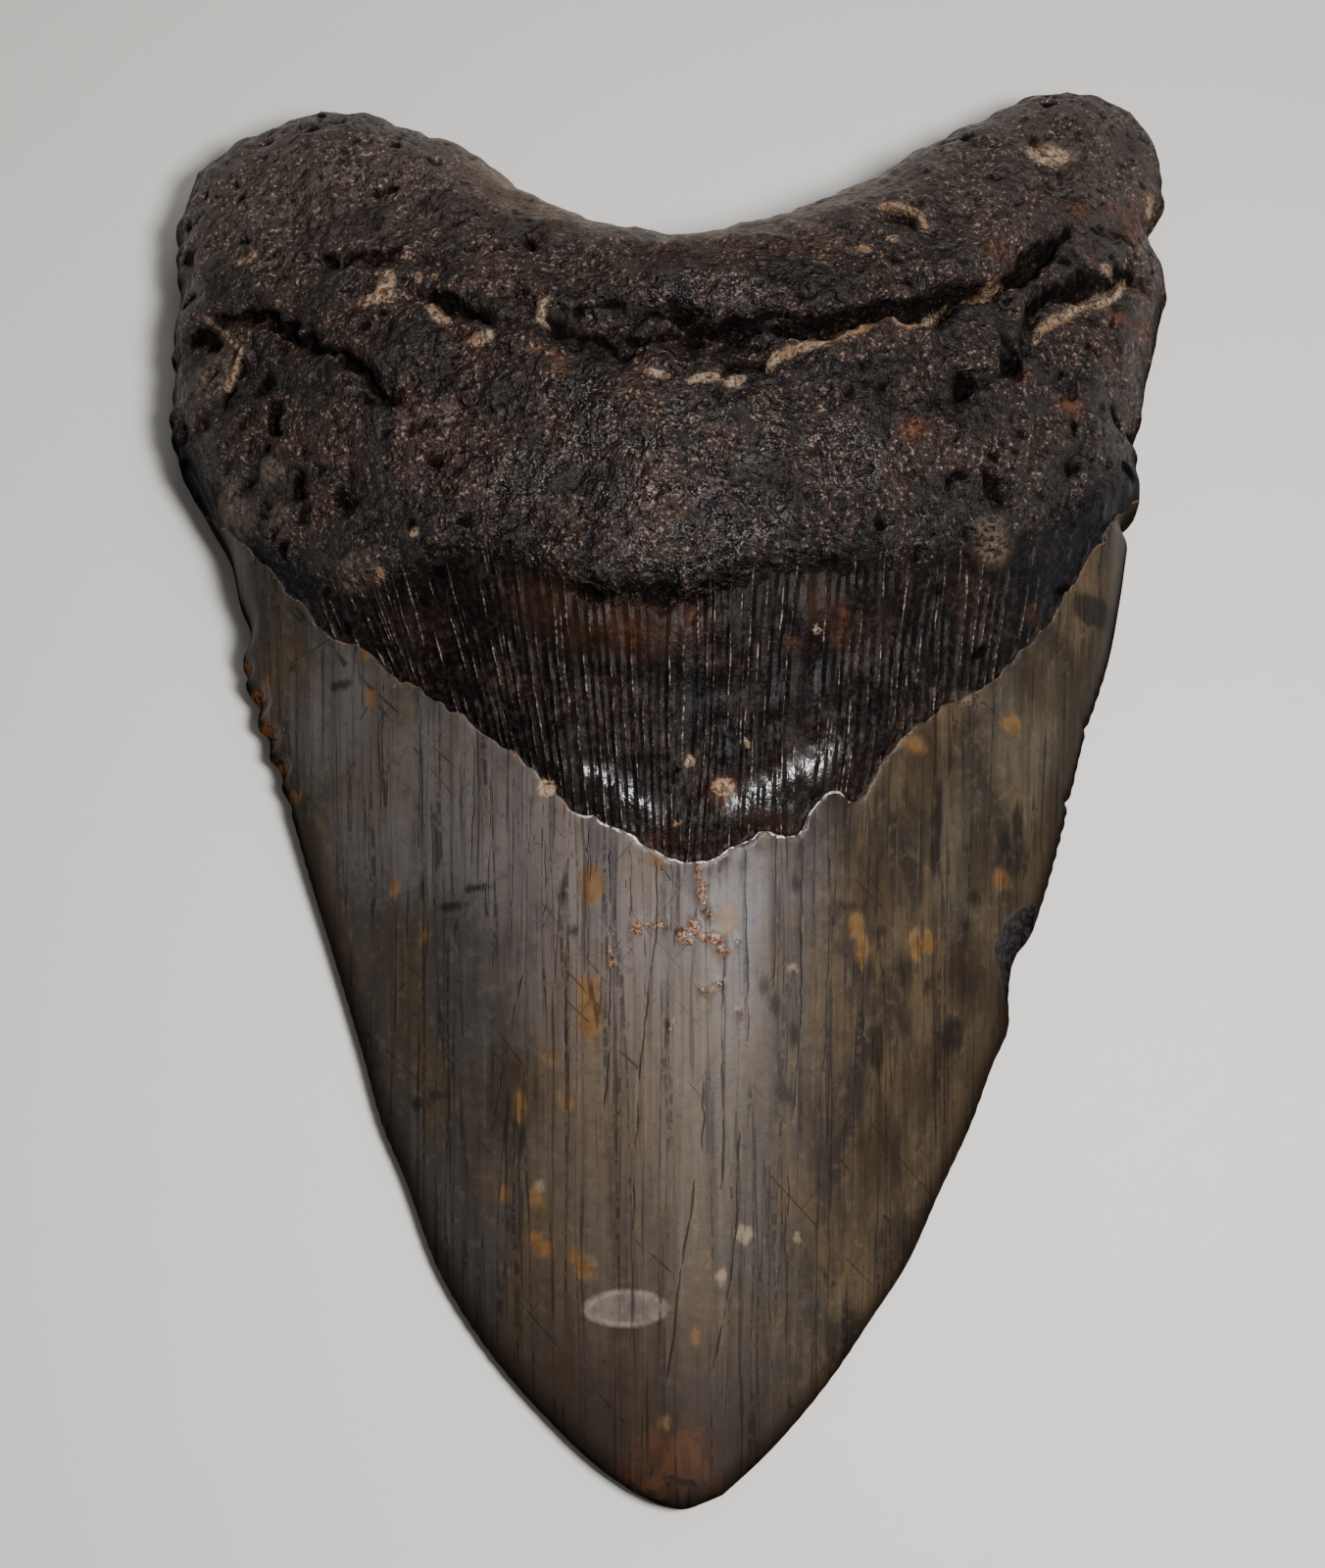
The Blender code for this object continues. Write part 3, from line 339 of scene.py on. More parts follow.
# Marks of colour on the lingual face, as (x, y, half width, half height).
TAN_MARKS = [
    (-30.8, 37.5, 0.34, 0.25), (-20.8, 36.0, 0.42, 0.67), (-19.4, 36.0, 0.25, 0.59), (16.1, 38.3, 0.59, 0.34),
    (18.6, 39.5, 0.59, 0.42), (38.1, 40.5, 0.76, 0.5), (11.8, 5.6, 0.34, 0.34), (43.2, 49.6, 0.42, 1.0),
    (-23.9, 11.6, 0.5, 0.5), (-20.8, 14.0, 0.42, 0.42), (6.2, -3.4, 0.25, 0.34), (1.6, -5.0, 0.42, 0.5),
    (0.6, -9.9, 0.25, 0.25), (4.3, -7.0, 0.9, 0.8), (-9.9, -6.7, 0.76, 0.76), (33.4, 51.6, 2.0, 1.1),
]
PALE_MARKS = [
    (33.6, 51.8, 2.4, 1.3), (-39.3, 31.3, 2.2, 2.1), (-18.0, 23.0, 0.76, 0.84), (-32.7, 17.8, 0.92, 1.3),
    (-26.0, 12.3, 1.6, 1.3), (26.7, 14.4, 1.7, 1.7), (23.7, 51.3, 1.7, 0.76), (-21.0, 23.6, 1.0, 1.2),
    (-38.0, 20.4, 1.5, 1.6), (-36.4, 18.6, 1.2, 1.2), (-33.6, 21.6, 1.4, 1.0), (24.8, 1.9, 1.4, 0.7),
]
RED_MARKS = [
    (35.6, 45.8, 1.3, 0.84), (39.2, 47.2, 0.84, 0.84), (41.3, 39.8, 0.84, 0.5), (39.0, 36.4, 1.0, 0.92),
    (29.7, 28.3, 0.59, 0.67), (33.9, 27.1, 1.3, 0.84), (19.8, 21.8, 1.2, 1.0), (27.8, 39.4, 1.3, 0.84),
    (-9.1, 26.9, 0.84, 0.42), (-10.7, 27.7, 0.5, 0.42), (-8.7, 25.6, 0.5, 0.42), (-42.1, 39.0, 0.92, 0.34),
    (-24.8, 29.4, 0.42, 0.42), (-21.4, 25.2, 0.59, 0.76), (10.0, 4.5, 0.67, 0.5), (14.0, 7.1, 0.42, 1.2),
    (13.6, 5.4, 0.5, 0.84), (30.5, 9.8, 0.67, 0.67), (-3.1, 4.9, 1.2, 0.84), (1.7, 6.2, 0.67, 0.42),
    (-1.3, -11.1, 1.0, 0.42), (4.4, -7.4, 1.2, 1.3), (15.0, 29.5, 0.84, 0.59), (41.4, 46.4, 1.4, 2.6),
    (41.8, 36.4, 0.9, 1.4),
]
BROWN_MARKS = [
    (1.0, 36.8, 2.9, 1.5), (-7.1, 4.8, 1.5, 1.3), (-9.9, 7.8, 2.9, 1.8), (11.8, 7.7, 1.6, 1.8),
    (8.4, -9.3, 2.0, 0.5), (-2.6, 5.1, 5.0, 2.2), (9.5, 38.1, 5.0, 1.2), (-10.1, 41.5, 2.5, 1.0),
]
ORANGE_MARKS = [
    (-34.6, 5.3, 0.5, 0.76), (-34.6, 2.7, 0.42, 0.76), (-33.9, 0.5, 0.42, 0.5), (-32.1, -4.1, 0.76, 0.76),
    (-22.9, -12.9, 0.5, 0.84), (-6.2, -14.3, 1.1, 1.7), (-6.5, -22.4, 1.0, 1.2), (-6.4, -24.7, 1.0, 2.0),
    (-9.7, -27.6, 0.76, 0.76), (-12.0, -31.3, 0.59, 1.2), (-8.3, -30.9, 0.67, 1.0), (-20.4, -17.1, 0.5, 0.5),
    (4.8, -17.0, 0.84, 1.5), (28.8, 0.7, 0.84, 0.84), (20.0, -2.4, 1.0, 0.67), (21.0, -17.7, 1.3, 0.92),
    (20.4, -18.6, 0.76, 0.67), (15.1, -16.9, 0.67, 1.0), (15.7, -18.7, 0.59, 1.3),
    (-10.9, -41.6, 0.67, 0.67), (-10.0, -42.4, 1.0, 0.67), (-10.7, -38.3, 0.67, 1.1),
    (-13.5, -38.0, 0.59, 0.67), (-7.5, -43.1, 0.76, 0.76), (-6.7, -44.1, 0.92, 0.76),
    (2.0, -49.3, 0.5, 0.76), (-0.2, -55.9, 0.5, 0.5), (3.1, -43.5, 0.34, 0.42), (-0.9, -12.6, 0.67, 0.76),
    (-25.3, 5.8, 0.67, 0.5), (-24.8, 2.2, 0.42, 1.4), (28.0, -11.8, 0.84, 1.0),
]
CREAM_MARKS = [
    (6.0, -41.4, 0.76, 0.76), (10.3, -41.5, 0.34, 0.34), (4.1, -44.7, 0.42, 0.59), (9.8, -20.7, 0.5, 0.34),
    (-10.5, -37.6, 0.42, 0.5),
]
DARK_MARKS = [
    (-20.5, -30.4, 0.84, 0.42), (-19.1, -29.9, 0.84, 0.42), (17.0, -17.3, 0.5, 0.5), (7.6, -22.2, 0.42, 0.67),
    (8.4, -23.7, 0.42, 0.67), (10.0, -25.9, 0.5, 0.76), (9.1, -30.4, 0.5, 0.67), (22.2, -6.0, 0.5, 1.0),
    (22.1, -7.8, 0.59, 1.5), (21.9, -10.5, 0.42, 1.8), (29.5, -6.8, 0.5, 1.2), (28.4, -8.9, 0.5, 1.3),
    (23.6, -24.9, 1.0, 1.5), (16.9, -26.5, 0.59, 2.0), (10.1, -14.1, 0.5, 0.67), (14.3, -15.6, 0.84, 0.34),
    (25.6, -13.6, 0.67, 0.59), (24.9, -15.8, 0.42, 0.67), (21.2, -21.2, 0.25, 0.5), (-8.8, -14.8, 0.25, 0.5),
    (-7.7, -17.7, 0.42, 0.42), (-27.7, 3.8, 0.9, 0.3),
    (-20.5, -13.1, 0.3, 1.0), (-18.0, -15.0, 1.3, 0.3), (-15.6, -13.8, 1.2, 0.25), (-35.4, 3.6, 0.6, 0.6),
    (-34.3, 0.4, 0.6, 0.5), (-33.2, -2.2, 0.5, 0.5), (36.5, 11.2, 2.4, 1.2), (38.9, 10.6, 1.2, 1.6),
]
UMBER_MARKS = [
    (25.2, -20.2, 2.4, 3.2), (23.1, -27.1, 2.0, 1.8), (20.8, -29.3, 2.2, 2.5), (-0.2, -59.5, 3.9, 2.2),
    (17.4, -34.9, 2.2, 3.4), (26.0, -10.7, 2.2, 3.4), (21.5, -5.2, 1.7, 4.2), (30.3, 4.7, 2.2, 2.5),
    (16.5, -13.4, 1.5, 5.0), (-12.9, -30.5, 2.5, 3.4),
]
# Rust-coloured flakes that stand proud of the enamel.
FLAKES = [
    (-2.7, -17.8, 0.5, 0.5), (-2.4, -18.3, 0.25, 0.25), (-1.8, -17.5, 0.5, 0.2), (-1.0, -17.7, 0.5, 0.2),
    (-0.3, -17.5, 0.34, 0.2), (-4.6, -20.4, 0.34, 0.5), (-4.9, -19.4, 0.2, 0.42), (0.9, -18.4, 0.5, 0.59),
    (1.9, -17.8, 0.59, 0.67), (1.6, -18.9, 0.5, 0.34), (2.7, -18.5, 0.42, 0.34), (3.7, -18.6, 0.59, 0.5),
    (4.2, -19.5, 0.59, 0.42), (5.5, -18.9, 0.25, 0.25), (2.3, -13.9, 0.34, 0.25), (2.7, -14.5, 0.42, 0.34),
    (2.4, -15.1, 0.42, 0.34), (2.7, -15.8, 0.42, 0.34), (3.0, -16.5, 0.42, 0.34), (3.3, -17.0, 0.34, 0.34),
    (3.0, -22.6, 0.67, 0.21), (4.0, -22.1, 0.5, 0.21), (0.1, -25.4, 0.25, 0.42), (5.6, -24.3, 0.25, 0.25),
    (2.3, -13.4, 0.25, 0.34),
]
# How far the flakes stand out, how wide their edges are, and how uneven they are, as (size, share).
FLAKE_HEIGHT, FLAKE_EDGE = 0.22, 0.25
FLAKE_UNEVEN = [(0.4, 0.4)]
# Paler enamel below the bourlette, and the red-brown patch at the tip.
LIGHT_MARKS = [
    (-20.5, -6.5, 7.5, 7.5), (-14.5, -9.5, 4.0, 5.5), (-27.5, 1.5, 4.5, 5.0), (30.0, 0.5, 3.4, 6.0),
    (24.0, -10.0, 2.4, 5.0),
]
TIP_MARKS = [(0.6, -58.6, 3.0, 2.4), (-1.6, -60.0, 2.2, 1.2)]
# Where the root is worn smooth and glints.
SHINY_MARKS = [
    (-6.6, 20.6, 2.2, 2.4), (-2.4, 20.4, 1.8, 2.6), (0.6, 19.4, 1.5, 2.8), (6.2, 20.6, 2.2, 2.8),
    (1.3, 16.5, 2.2, 2.0), (-3.3, 15.0, 2.2, 1.8), (6.0, 13.7, 3.2, 1.8), (1.3, 10.8, 4.4, 1.6),
    (14.0, 19.0, 3.0, 2.4), (-12.0, 17.0, 2.4, 2.0), (3.0, 33.5, 5.0, 1.6), (-8.0, 24.0, 2.0, 1.4),
]
# The scar of a shell that grew on the crown.
SCAR = [(-3.5, -47.1, 3.5, 1.5)]

# The marks by the names that the material reads them under.
MARKS = {
    "pale": PALE_MARKS, "red": RED_MARKS, "brown": BROWN_MARKS, "orange": ORANGE_MARKS,
    "cream": CREAM_MARKS, "dark": DARK_MARKS, "umber": UMBER_MARKS, "flake": FLAKES, "scar": SCAR,
    "edge_chip": EDGE_CHIPS, "light": LIGHT_MARKS, "tip": TIP_MARKS,
}

# The seed of each kind of random lumps. A kind with several sizes uses the numbers after it too.
SEED = {
    "root lumps": 0, "rib sway": 5, "crown waves": 7, "labial lumps": 11, "left teeth": 21,
    "right teeth": 22, "left bumps": 23, "right bumps": 24, "basal bumps": 25, "rib breaks": 31,
    "faint ribs": 32, "crack sway": 41, "flakes": 43, "chip": 44, "ledge": 51, "lip": 52,
    "enamel rim": 53, "fine lumps": 60, "pores": 70, "labial pores": 75, "open pores": 77,
    "stray x": 80, "stray y": 90, "groove width": 95, "flaked layers": 110,
}
LUMP_TABLE, PORE_TABLE = 128, 256

# The size of the grid of each face, and of the outline's edges.
COLUMNS = 540
ROWS = 560
EDGE_STEPS = 481
# How many steps of the outline each of its long chords spans.
RIM_BLOCK = 16
# How many points a groove's and a crack's smooth line has for each point of its table.
GROOVE_STEPS, CRACK_STEPS = 4, 5
# How much closer together the grid's steps come near the rim.
CROWDING = 0.45
RIM_MARGIN, WELD_DISTANCE = 1e-6, 1e-7
# How many triangles are left before the edges of the smooth surface that are longer than this are split.
TRIANGLES = 148000
LONGEST_EDGE = 0.75
# How high above the rim, and how far inside it, they have to lie.
SPLIT_ABOVE, SPLIT_INSIDE = 0.8, 1.5
# How far below the rim the lingual face's marks still reach, and the distance that stands for none near by.
RIM_SLACK, FAR = 0.3, 9.0
# How softly the thin lines of the material end, and a whole number that keeps what is counted above nothing.
LINE_BLUR = 0.04
WHOLE = 20.0

# The photograph's camera looks down at the tooth from 15 degrees towards its tip.
CAMERA_TILT = np.radians(15.0)
CAMERA_DISTANCE = 197.0
CAMERA_TARGET = (-0.55, -3.65, 8.0)
LENS, SENSOR, CLIP_START = 53.3, 36.0, 0.01
KEY_FROM_CAMERA = (55.0, 10.0, 4.0)
WORLD_STRENGTH = 0.12
FLOOR_HALF = 1.5


def through(knots, values, at):
    """A smooth curve through values at the knots, read at other places."""
    slopes = np.gradient(values, knots, axis=0)
    left = np.clip(np.searchsorted(knots, at, side="right") - 1, 0, len(knots) - 2)
    step = knots[left + 1] - knots[left]
    s = (at - knots[left]) / step
    if values.ndim > 1:
        s = s[:, None]
        step = step[:, None]
    return (
        (1 + 2 * s) * (1 - s) ** 2 * values[left]
        + s * (1 - s) ** 2 * step * slopes[left]
        + s * s * (3 - 2 * s) * values[left + 1]
        + s * s * (s - 1) * step * slopes[left + 1]
    )


def smooth_line(points, count):
    """Points spaced evenly along a smooth line through a few points."""
    points = np.array(points, float)
    reach = np.concatenate([[0.0], np.cumsum(np.hypot(*np.diff(points, axis=0).T))])
    return through(reach, points, np.linspace(0.0, reach[-1], count))


def step_up(value, width):
    """From 0 to 1 as the value passes through 0, over this width."""
    s = np.clip(value / width + 0.5, 0.0, 1.0)
    return s * s * (3 - 2 * s)


def bell(value, width):
    """1 where the value is 0, falling smoothly to 0 over about twice this width."""
    return np.exp(-((value / width) ** 2))


def ends_fade(share, fade):
    """1 along a line, and less over this share of it at both ends."""
    return step_up(np.minimum(share, 1 - share) - fade / 2, fade)


def lumps(x, y, size, seed):
    """Smooth random lumps of about this size, from -1 to 1."""
    count = LUMP_TABLE
    table = np.random.default_rng(seed).uniform(-1.0, 1.0, (count, count))
    across = x / size + count // 2
    along = y / size + count // 2
    i = np.floor(across).astype(int)
    j = np.floor(along).astype(int)
    s = step_up(across - i - 0.5, 1.0)
    t = step_up(along - j - 0.5, 1.0)
    i0, i1, j0, j1 = i % count, (i + 1) % count, j % count, (j + 1) % count
    low = table[i0, j0] * (1 - s) + table[i1, j0] * s
    high = table[i0, j1] * (1 - s) + table[i1, j1] * s
    return low * (1 - t) + high * t


def layered(x, y, layers, seed, apart=1):
    """Lumps of several sizes added together, from a table of (size, height)."""
    height = np.zeros(len(x))
    for number, (size, high) in enumerate(layers):
        height += high * lumps(x, y, size, seed + apart * number)
    return height


def serrations(y, seed):
    """How far the worn teeth of a cutting edge stand out. They are clearest below the bourlette."""
    worn = 0.35 + 0.65 * bell(y - CLEAREST_AT, CLEAREST_REACH)
    worn *= 0.55 + 0.45 * lumps(y, 0 * y, 3.0, seed)
    on_crown = step_up(SERRATED_TO - y, SERRATED_FADE) * step_up(y - SERRATED_FROM, SERRATED_FADE)
    return on_crown * worn * SERRATION_HEIGHT * np.sin(2 * np.pi * y / SERRATION_SPACING)


def bumps(edge, seed):
    """The height of the small bumps of a worn edge, which fade out at its ends."""
    share = np.linspace(0.0, 1.0, EDGE_STEPS)
    reach = share * np.hypot(*np.diff(edge, axis=0).T).sum()
    return layered(reach, 0 * reach, EDGE_BUMPS, seed, apart=10) * ends_fade(share, EDGE_FADE)


def outline():
    """The basal, left, right and tip edges with their bumps, serrations and notches, and their middle."""
    basal, left, right, tip = (
        smooth_line(edge, EDGE_STEPS) for edge in (BASAL_EDGE, LEFT_EDGE, RIGHT_EDGE, TIP_EDGE)
    )
    smooth = np.concatenate([basal, left, right, tip])
    middle = (smooth.min(axis=0) + smooth.max(axis=0)) / 2
    for edge, name, inwards in [(left, "left", 1.0), (right, "right", -1.0)]:
        y = edge[:, 1].copy()
        on_root = step_up(y - SIDE_BUMPS_FROM, SIDE_BUMPS_FADE)
        edge[:, 0] += bumps(edge, SEED[name + " bumps"]) * on_root + serrations(y, SEED[name + " teeth"])
        for side, notch_y, reach, depth in NOTCHES:
            if side == inwards:
                edge[:, 0] += inwards * depth * bell(y - notch_y, reach)
    basal[:, 1] += bumps(basal, SEED["basal bumps"])
    return basal, left, right, tip, middle


BASAL, LEFT, RIGHT, TIP, MIDDLE = outline()
RIM = np.concatenate([BASAL, RIGHT[1:], TIP[-2::-1], LEFT[-2::-1]])


def on_edge(edge, share):
    """The points at these shares of an edge's length."""
    steps = np.linspace(0.0, 1.0, EDGE_STEPS)
    return np.stack([np.interp(share, steps, edge[:, 0]), np.interp(share, steps, edge[:, 1])], axis=1)


def plan_of(u, v):
    """The point inside the outline for a grid point, blended between the four edges."""
    s = u[:, None]
    t = v[:, None]
    corners = (1 - t) * ((1 - s) * BASAL[0] + s * BASAL[-1]) + t * ((1 - s) * TIP[0] + s * TIP[-1])
    across = (1 - t) * on_edge(BASAL, u) + t * on_edge(TIP, u)
    along = (1 - s) * on_edge(LEFT, v) + s * on_edge(RIGHT, v)
    return across + along - corners


def nearest_on(x, y, start, end):
    """The distance from each point to a straight line, and the share of the line before its nearest place."""
    dx, dy = end[0] - start[0], end[1] - start[1]
    s = np.clip(((x - start[0]) * dx + (y - start[1]) * dy) / (dx * dx + dy * dy), 0.0, 1.0)
    return np.hypot(x - start[0] - s * dx, y - start[1] - s * dy), s


def distance_to(x, y, line):
    """The distance from each point to a line, and the share of the line before its nearest place."""
    length = np.hypot(*np.diff(line, axis=0).T)
    before = np.concatenate([[0.0], np.cumsum(length)])
    nearest = np.full(len(x), np.inf)
    share = np.zeros(len(x))
    for start, end, size, reach in zip(line[:-1], line[1:], length, before):
        away, s = nearest_on(x, y, start, end)
        closer = away < nearest
        nearest[closer] = away[closer]
        share[closer] = (reach + s[closer] * size) / before[-1]
    return nearest, share


def inside_rim(x, y):
    """The distance from each point to the outline: first to long chords of it, then to the short steps of it
    that lie near the nearest chord."""
    chords = RIM[::RIM_BLOCK]
    nearest = np.full(len(x), np.inf)
    chord = np.zeros(len(x), int)
    for number, (start, end) in enumerate(zip(chords[:-1], chords[1:])):
        away, _ = nearest_on(x, y, start, end)
        closer = away < nearest
        nearest[closer] = away[closer]
        chord[closer] = number
    nearest = np.full(len(x), np.inf)
    for step in range(-RIM_BLOCK, 2 * RIM_BLOCK):
        at = (chord * RIM_BLOCK + step) % (len(RIM) - 1)
        away, _ = nearest_on(x, y, RIM[at].T, RIM[at + 1].T)
        nearest = np.minimum(nearest, away)
    return nearest


def above(x, y, line):
    """How far each point lies on the root's side of a line that runs from left to right."""
    height = through(line[:, 0], line[:, 1], x)
    slope = np.interp(x, line[:, 0], np.gradient(line[:, 1], line[:, 0]))
    return (y - height) / np.hypot(1.0, slope)


def over_enamel_rim(x, y):
    """How far each point lies above the broken rim of the enamel."""
    return above(x, y, ENAMEL_EDGE) + layered(x, y, RIM_STRAY, SEED["enamel rim"])


def rounding(inside, radius):
    """How far a face has risen from the rim, from 0 to 1, on a round edge of this radius."""
    short = 1 - np.minimum(inside / radius, 1.0)
    return np.sqrt(1 - short**2)


def section_at(x, y):
    """The place across the tooth, from -1 to 1, and the values of its cross-section."""
    sides = through(SIDES[:, 0], SIDES[:, 1:], y)
    across = np.clip((2 * x - sides[:, 0] - sides[:, 1]) / (sides[:, 1] - sides[:, 0]), -1.0, 1.0)
    return across, through(SECTIONS[:, 0], SECTIONS[:, 1:], y)


def near_line(x, y, line, reach):
    """Which points lie in the box around a line."""
    low = line.min(axis=0) - reach
    high = line.max(axis=0) + reach
    return (x > low[0]) & (x < high[0]) & (y > low[1]) & (y < high[1])


def carved(x, y, lines):
    """The depth of some grooves, less the height of the ridges."""
    depth = np.zeros(len(x))
    for width, deepest, points in lines:
        line = smooth_line(points, GROOVE_STEPS * len(points))
        near = near_line(x, y, line, GROOVE_REACH * width)
        away, share = distance_to(x[near], y[near], line)
        uneven = width * (1 + layered(x[near], y[near], UNEVEN, SEED["groove width"]))
        depth[near] += deepest * ends_fade(share, END_FADE) * bell(away, uneven)
    return depth


def strayed(x, y):
    """The points moved about a little, so that what is worked out from them comes out ragged."""
    return x + layered(x, y, STRAY, SEED["stray x"]), y + layered(x, y, STRAY, SEED["stray y"])


def flaked(x, y):
    """The small ledges where layers of the root have flaked off, about level on the whole."""
    height = np.zeros(len(x))
    for number, (size, high) in enumerate(FLAKED):
        height += high * (step_up(lumps(x, y, size, SEED["flaked layers"] + number), 0.3) - 0.5)
    return height


def pits(x, y):
    """The depth of the larger pits, less the height of the lumps."""
    depth = np.zeros(len(x))
    for pit_x, pit_y, radius, deepest in PITS:
        away = ((x - pit_x) ** 2 + (y - pit_y) ** 2) / radius**2
        depth += deepest * np.exp(-(away**PIT_STEEPNESS))
    return depth


def fine_pits(x, y):
    """The depth of the smaller pits, whose walls are steep."""
    depth = np.zeros(len(x))
    for pit_x, pit_y, wide, high in FINE_PITS:
        away = ((x - pit_x) / wide) ** 2 + ((y - pit_y) / high) ** 2
        depth += FINE_PIT_DEPTH * np.exp(-(away**2))
    return depth


def pores(x, y, spacing, radius, seed):
    """Small pits scattered one to a square, from 0 to 1 deep."""
    table = np.random.default_rng(seed).uniform(0.0, 1.0, (3, PORE_TABLE, PORE_TABLE))
    column = np.floor(x / spacing).astype(int)
    row = np.floor(y / spacing).astype(int)
    depth = np.zeros(len(x))
    for i in (-1, 0, 1):
        for j in (-1, 0, 1):
            cell = (column + i) % PORE_TABLE, (row + j) % PORE_TABLE
            pit_x = (column + i + table[0][cell]) * spacing
            pit_y = (row + j + table[1][cell]) * spacing
            share = LEAST_PORE + (1 - LEAST_PORE) * table[2][cell]
            away = np.hypot(x - pit_x, y - pit_y) / (radius * share)
            depth = np.maximum(depth, share * np.exp(-(away**3)))
    return depth


def root_pores(x, y):
    """The depth of the scattered pores of the root."""
    depth = np.zeros(len(x))
    for number, (spacing, radius, deepest) in enumerate(PORES):
        depth += deepest * pores(x, y, spacing, radius, SEED["pores"] + number)
    return depth


def open_share(x, y):
    """How open the pores of the root are, from 0 to 1. They are closed over its middle."""
    sides = step_up(np.abs(x) - OPEN_FROM, OPEN_OVER)
    return np.clip(0.35 + 0.5 * sides + 0.5 * lumps(x, y, 6.0, SEED["open pores"]), 0.1, 1.0)


def rib_place(x, y):
    """A number that grows by one from each rib of the bourlette to the next."""
    spread = RIB_SPREAD - RIB_SKEW * np.tanh(x / 10)
    at_ledge = x / (1 - spread * (RIB_TOP - y))
    return (at_ledge + RIB_SWAY * lumps(at_ledge, y / 9, 2.6, SEED["rib sway"])) / RIB_SPACING


def rib_shape(x, y):
    """The height of the ribs, from 0 to 1. Between the main ones run fainter ones, clearest on the right."""
    place = rib_place(x, y)
    main, between, extra = (
        bell(np.abs(place - offset - np.round(place - offset)) * RIB_SPACING, RIB_WIDTH)
        for offset in RIB_OFFSETS
    )
    broken = np.clip(0.75 + 0.6 * lumps(x * 1.5, y * 0.5, 1.0, SEED["rib breaks"]), 0.15, 1.0)
    clearer = 0.5 * bell(x - CROWDED_AT, CROWDED_REACH)
    faint = np.clip(0.35 + 0.5 * lumps(x, y * 0.3, 1.6, SEED["faint ribs"]) + clearer, 0.0, 1.0)
    fainter = 0.6 * np.clip(faint - 0.3, 0.0, 1.0)
    return np.maximum(np.maximum(broken * main, 0.8 * faint * between), fainter * extra)


def crack_fields(x, y):
    """The signed distance to the nearest enamel crack, the plain distance, and the crack's strength."""
    side = np.full(len(x), FAR)
    nearest = np.full(len(x), FAR)
    strength = np.zeros(len(x))
    for power, points in CRACKS:
        line = smooth_line(points, CRACK_STEPS * len(points))
        line[:, 0] += layered(line[:, 0], line[:, 1], CRACK_SWAY, SEED["crack sway"])
        near = np.flatnonzero(near_line(x, y, line, CRACK_REACH))
        away, _ = distance_to(x[near], y[near], line)
        middle = np.interp(y[near], line[::-1, 1], line[::-1, 0])
        closer = away < nearest[near]
        spot = near[closer]
        nearest[spot] = away[closer]
        side[spot] = np.copysign(away[closer], x[near][closer] - middle[closer])
        strength[spot] = power
    return side, nearest, strength


def mark_field(x, y, marks):
    """About how far outside the nearest mark each point is. It is negative inside."""
    field = np.full(len(x), FAR)
    for mark_x, mark_y, wide, high in marks:
        away = np.hypot((x - mark_x) / wide, (y - mark_y) / high)
        field = np.minimum(field, (away - 1) * np.sqrt(wide * high))
    return field


def band_field(x, y, bands):
    """How far outside the nearest band each point is. It is negative inside."""
    field = np.full(len(x), FAR)
    for band in bands:
        for start, end in zip(band[:-1], band[1:]):
            away, s = nearest_on(x, y, start, end)
            field = np.minimum(field, away - start[2] - s * (end[2] - start[2]))
    return field


def chip_share(x, y):
    """From 0 at the border of the broken flake to 1 at its centre."""
    away = ((x - CHIP_CENTRE[0]) / CHIP_REACH[0]) ** 2 + ((y - CHIP_CENTRE[1]) / CHIP_REACH[1]) ** 2
    return np.maximum(1 - away, 0.0)


def crown_relief(x, y, over_enamel):
    """The waves, cracks, rust flakes and raised broken lip of the enamel."""
    wave_width, wave_length, wave_height = CROWN_WAVES
    _, crack, strength = crack_fields(x, y)
    relief = wave_height * lumps(x / wave_width, y / wave_length, 1.0, SEED["crown waves"])
    relief -= strength * CRACK_DEPTH * bell(crack, CRACK_WIDTH)
    relief *= 1 - step_up(over_enamel, STEP_WIDTH)
    unbroken = np.clip(0.5 + layered(x, y, LIP_BREAKS, SEED["lip"]), 0.1, 1.0)
    lip = LIP_HEIGHT * unbroken * bell(x, LIP_REACH)
    relief += lip * bell(over_enamel + LIP_WIDTH, LIP_WIDTH)
    flakes = step_up(-mark_field(x, y, FLAKES), FLAKE_EDGE)
    return relief + flakes * FLAKE_HEIGHT * (0.6 + layered(x, y, FLAKE_UNEVEN, SEED["flakes"]))


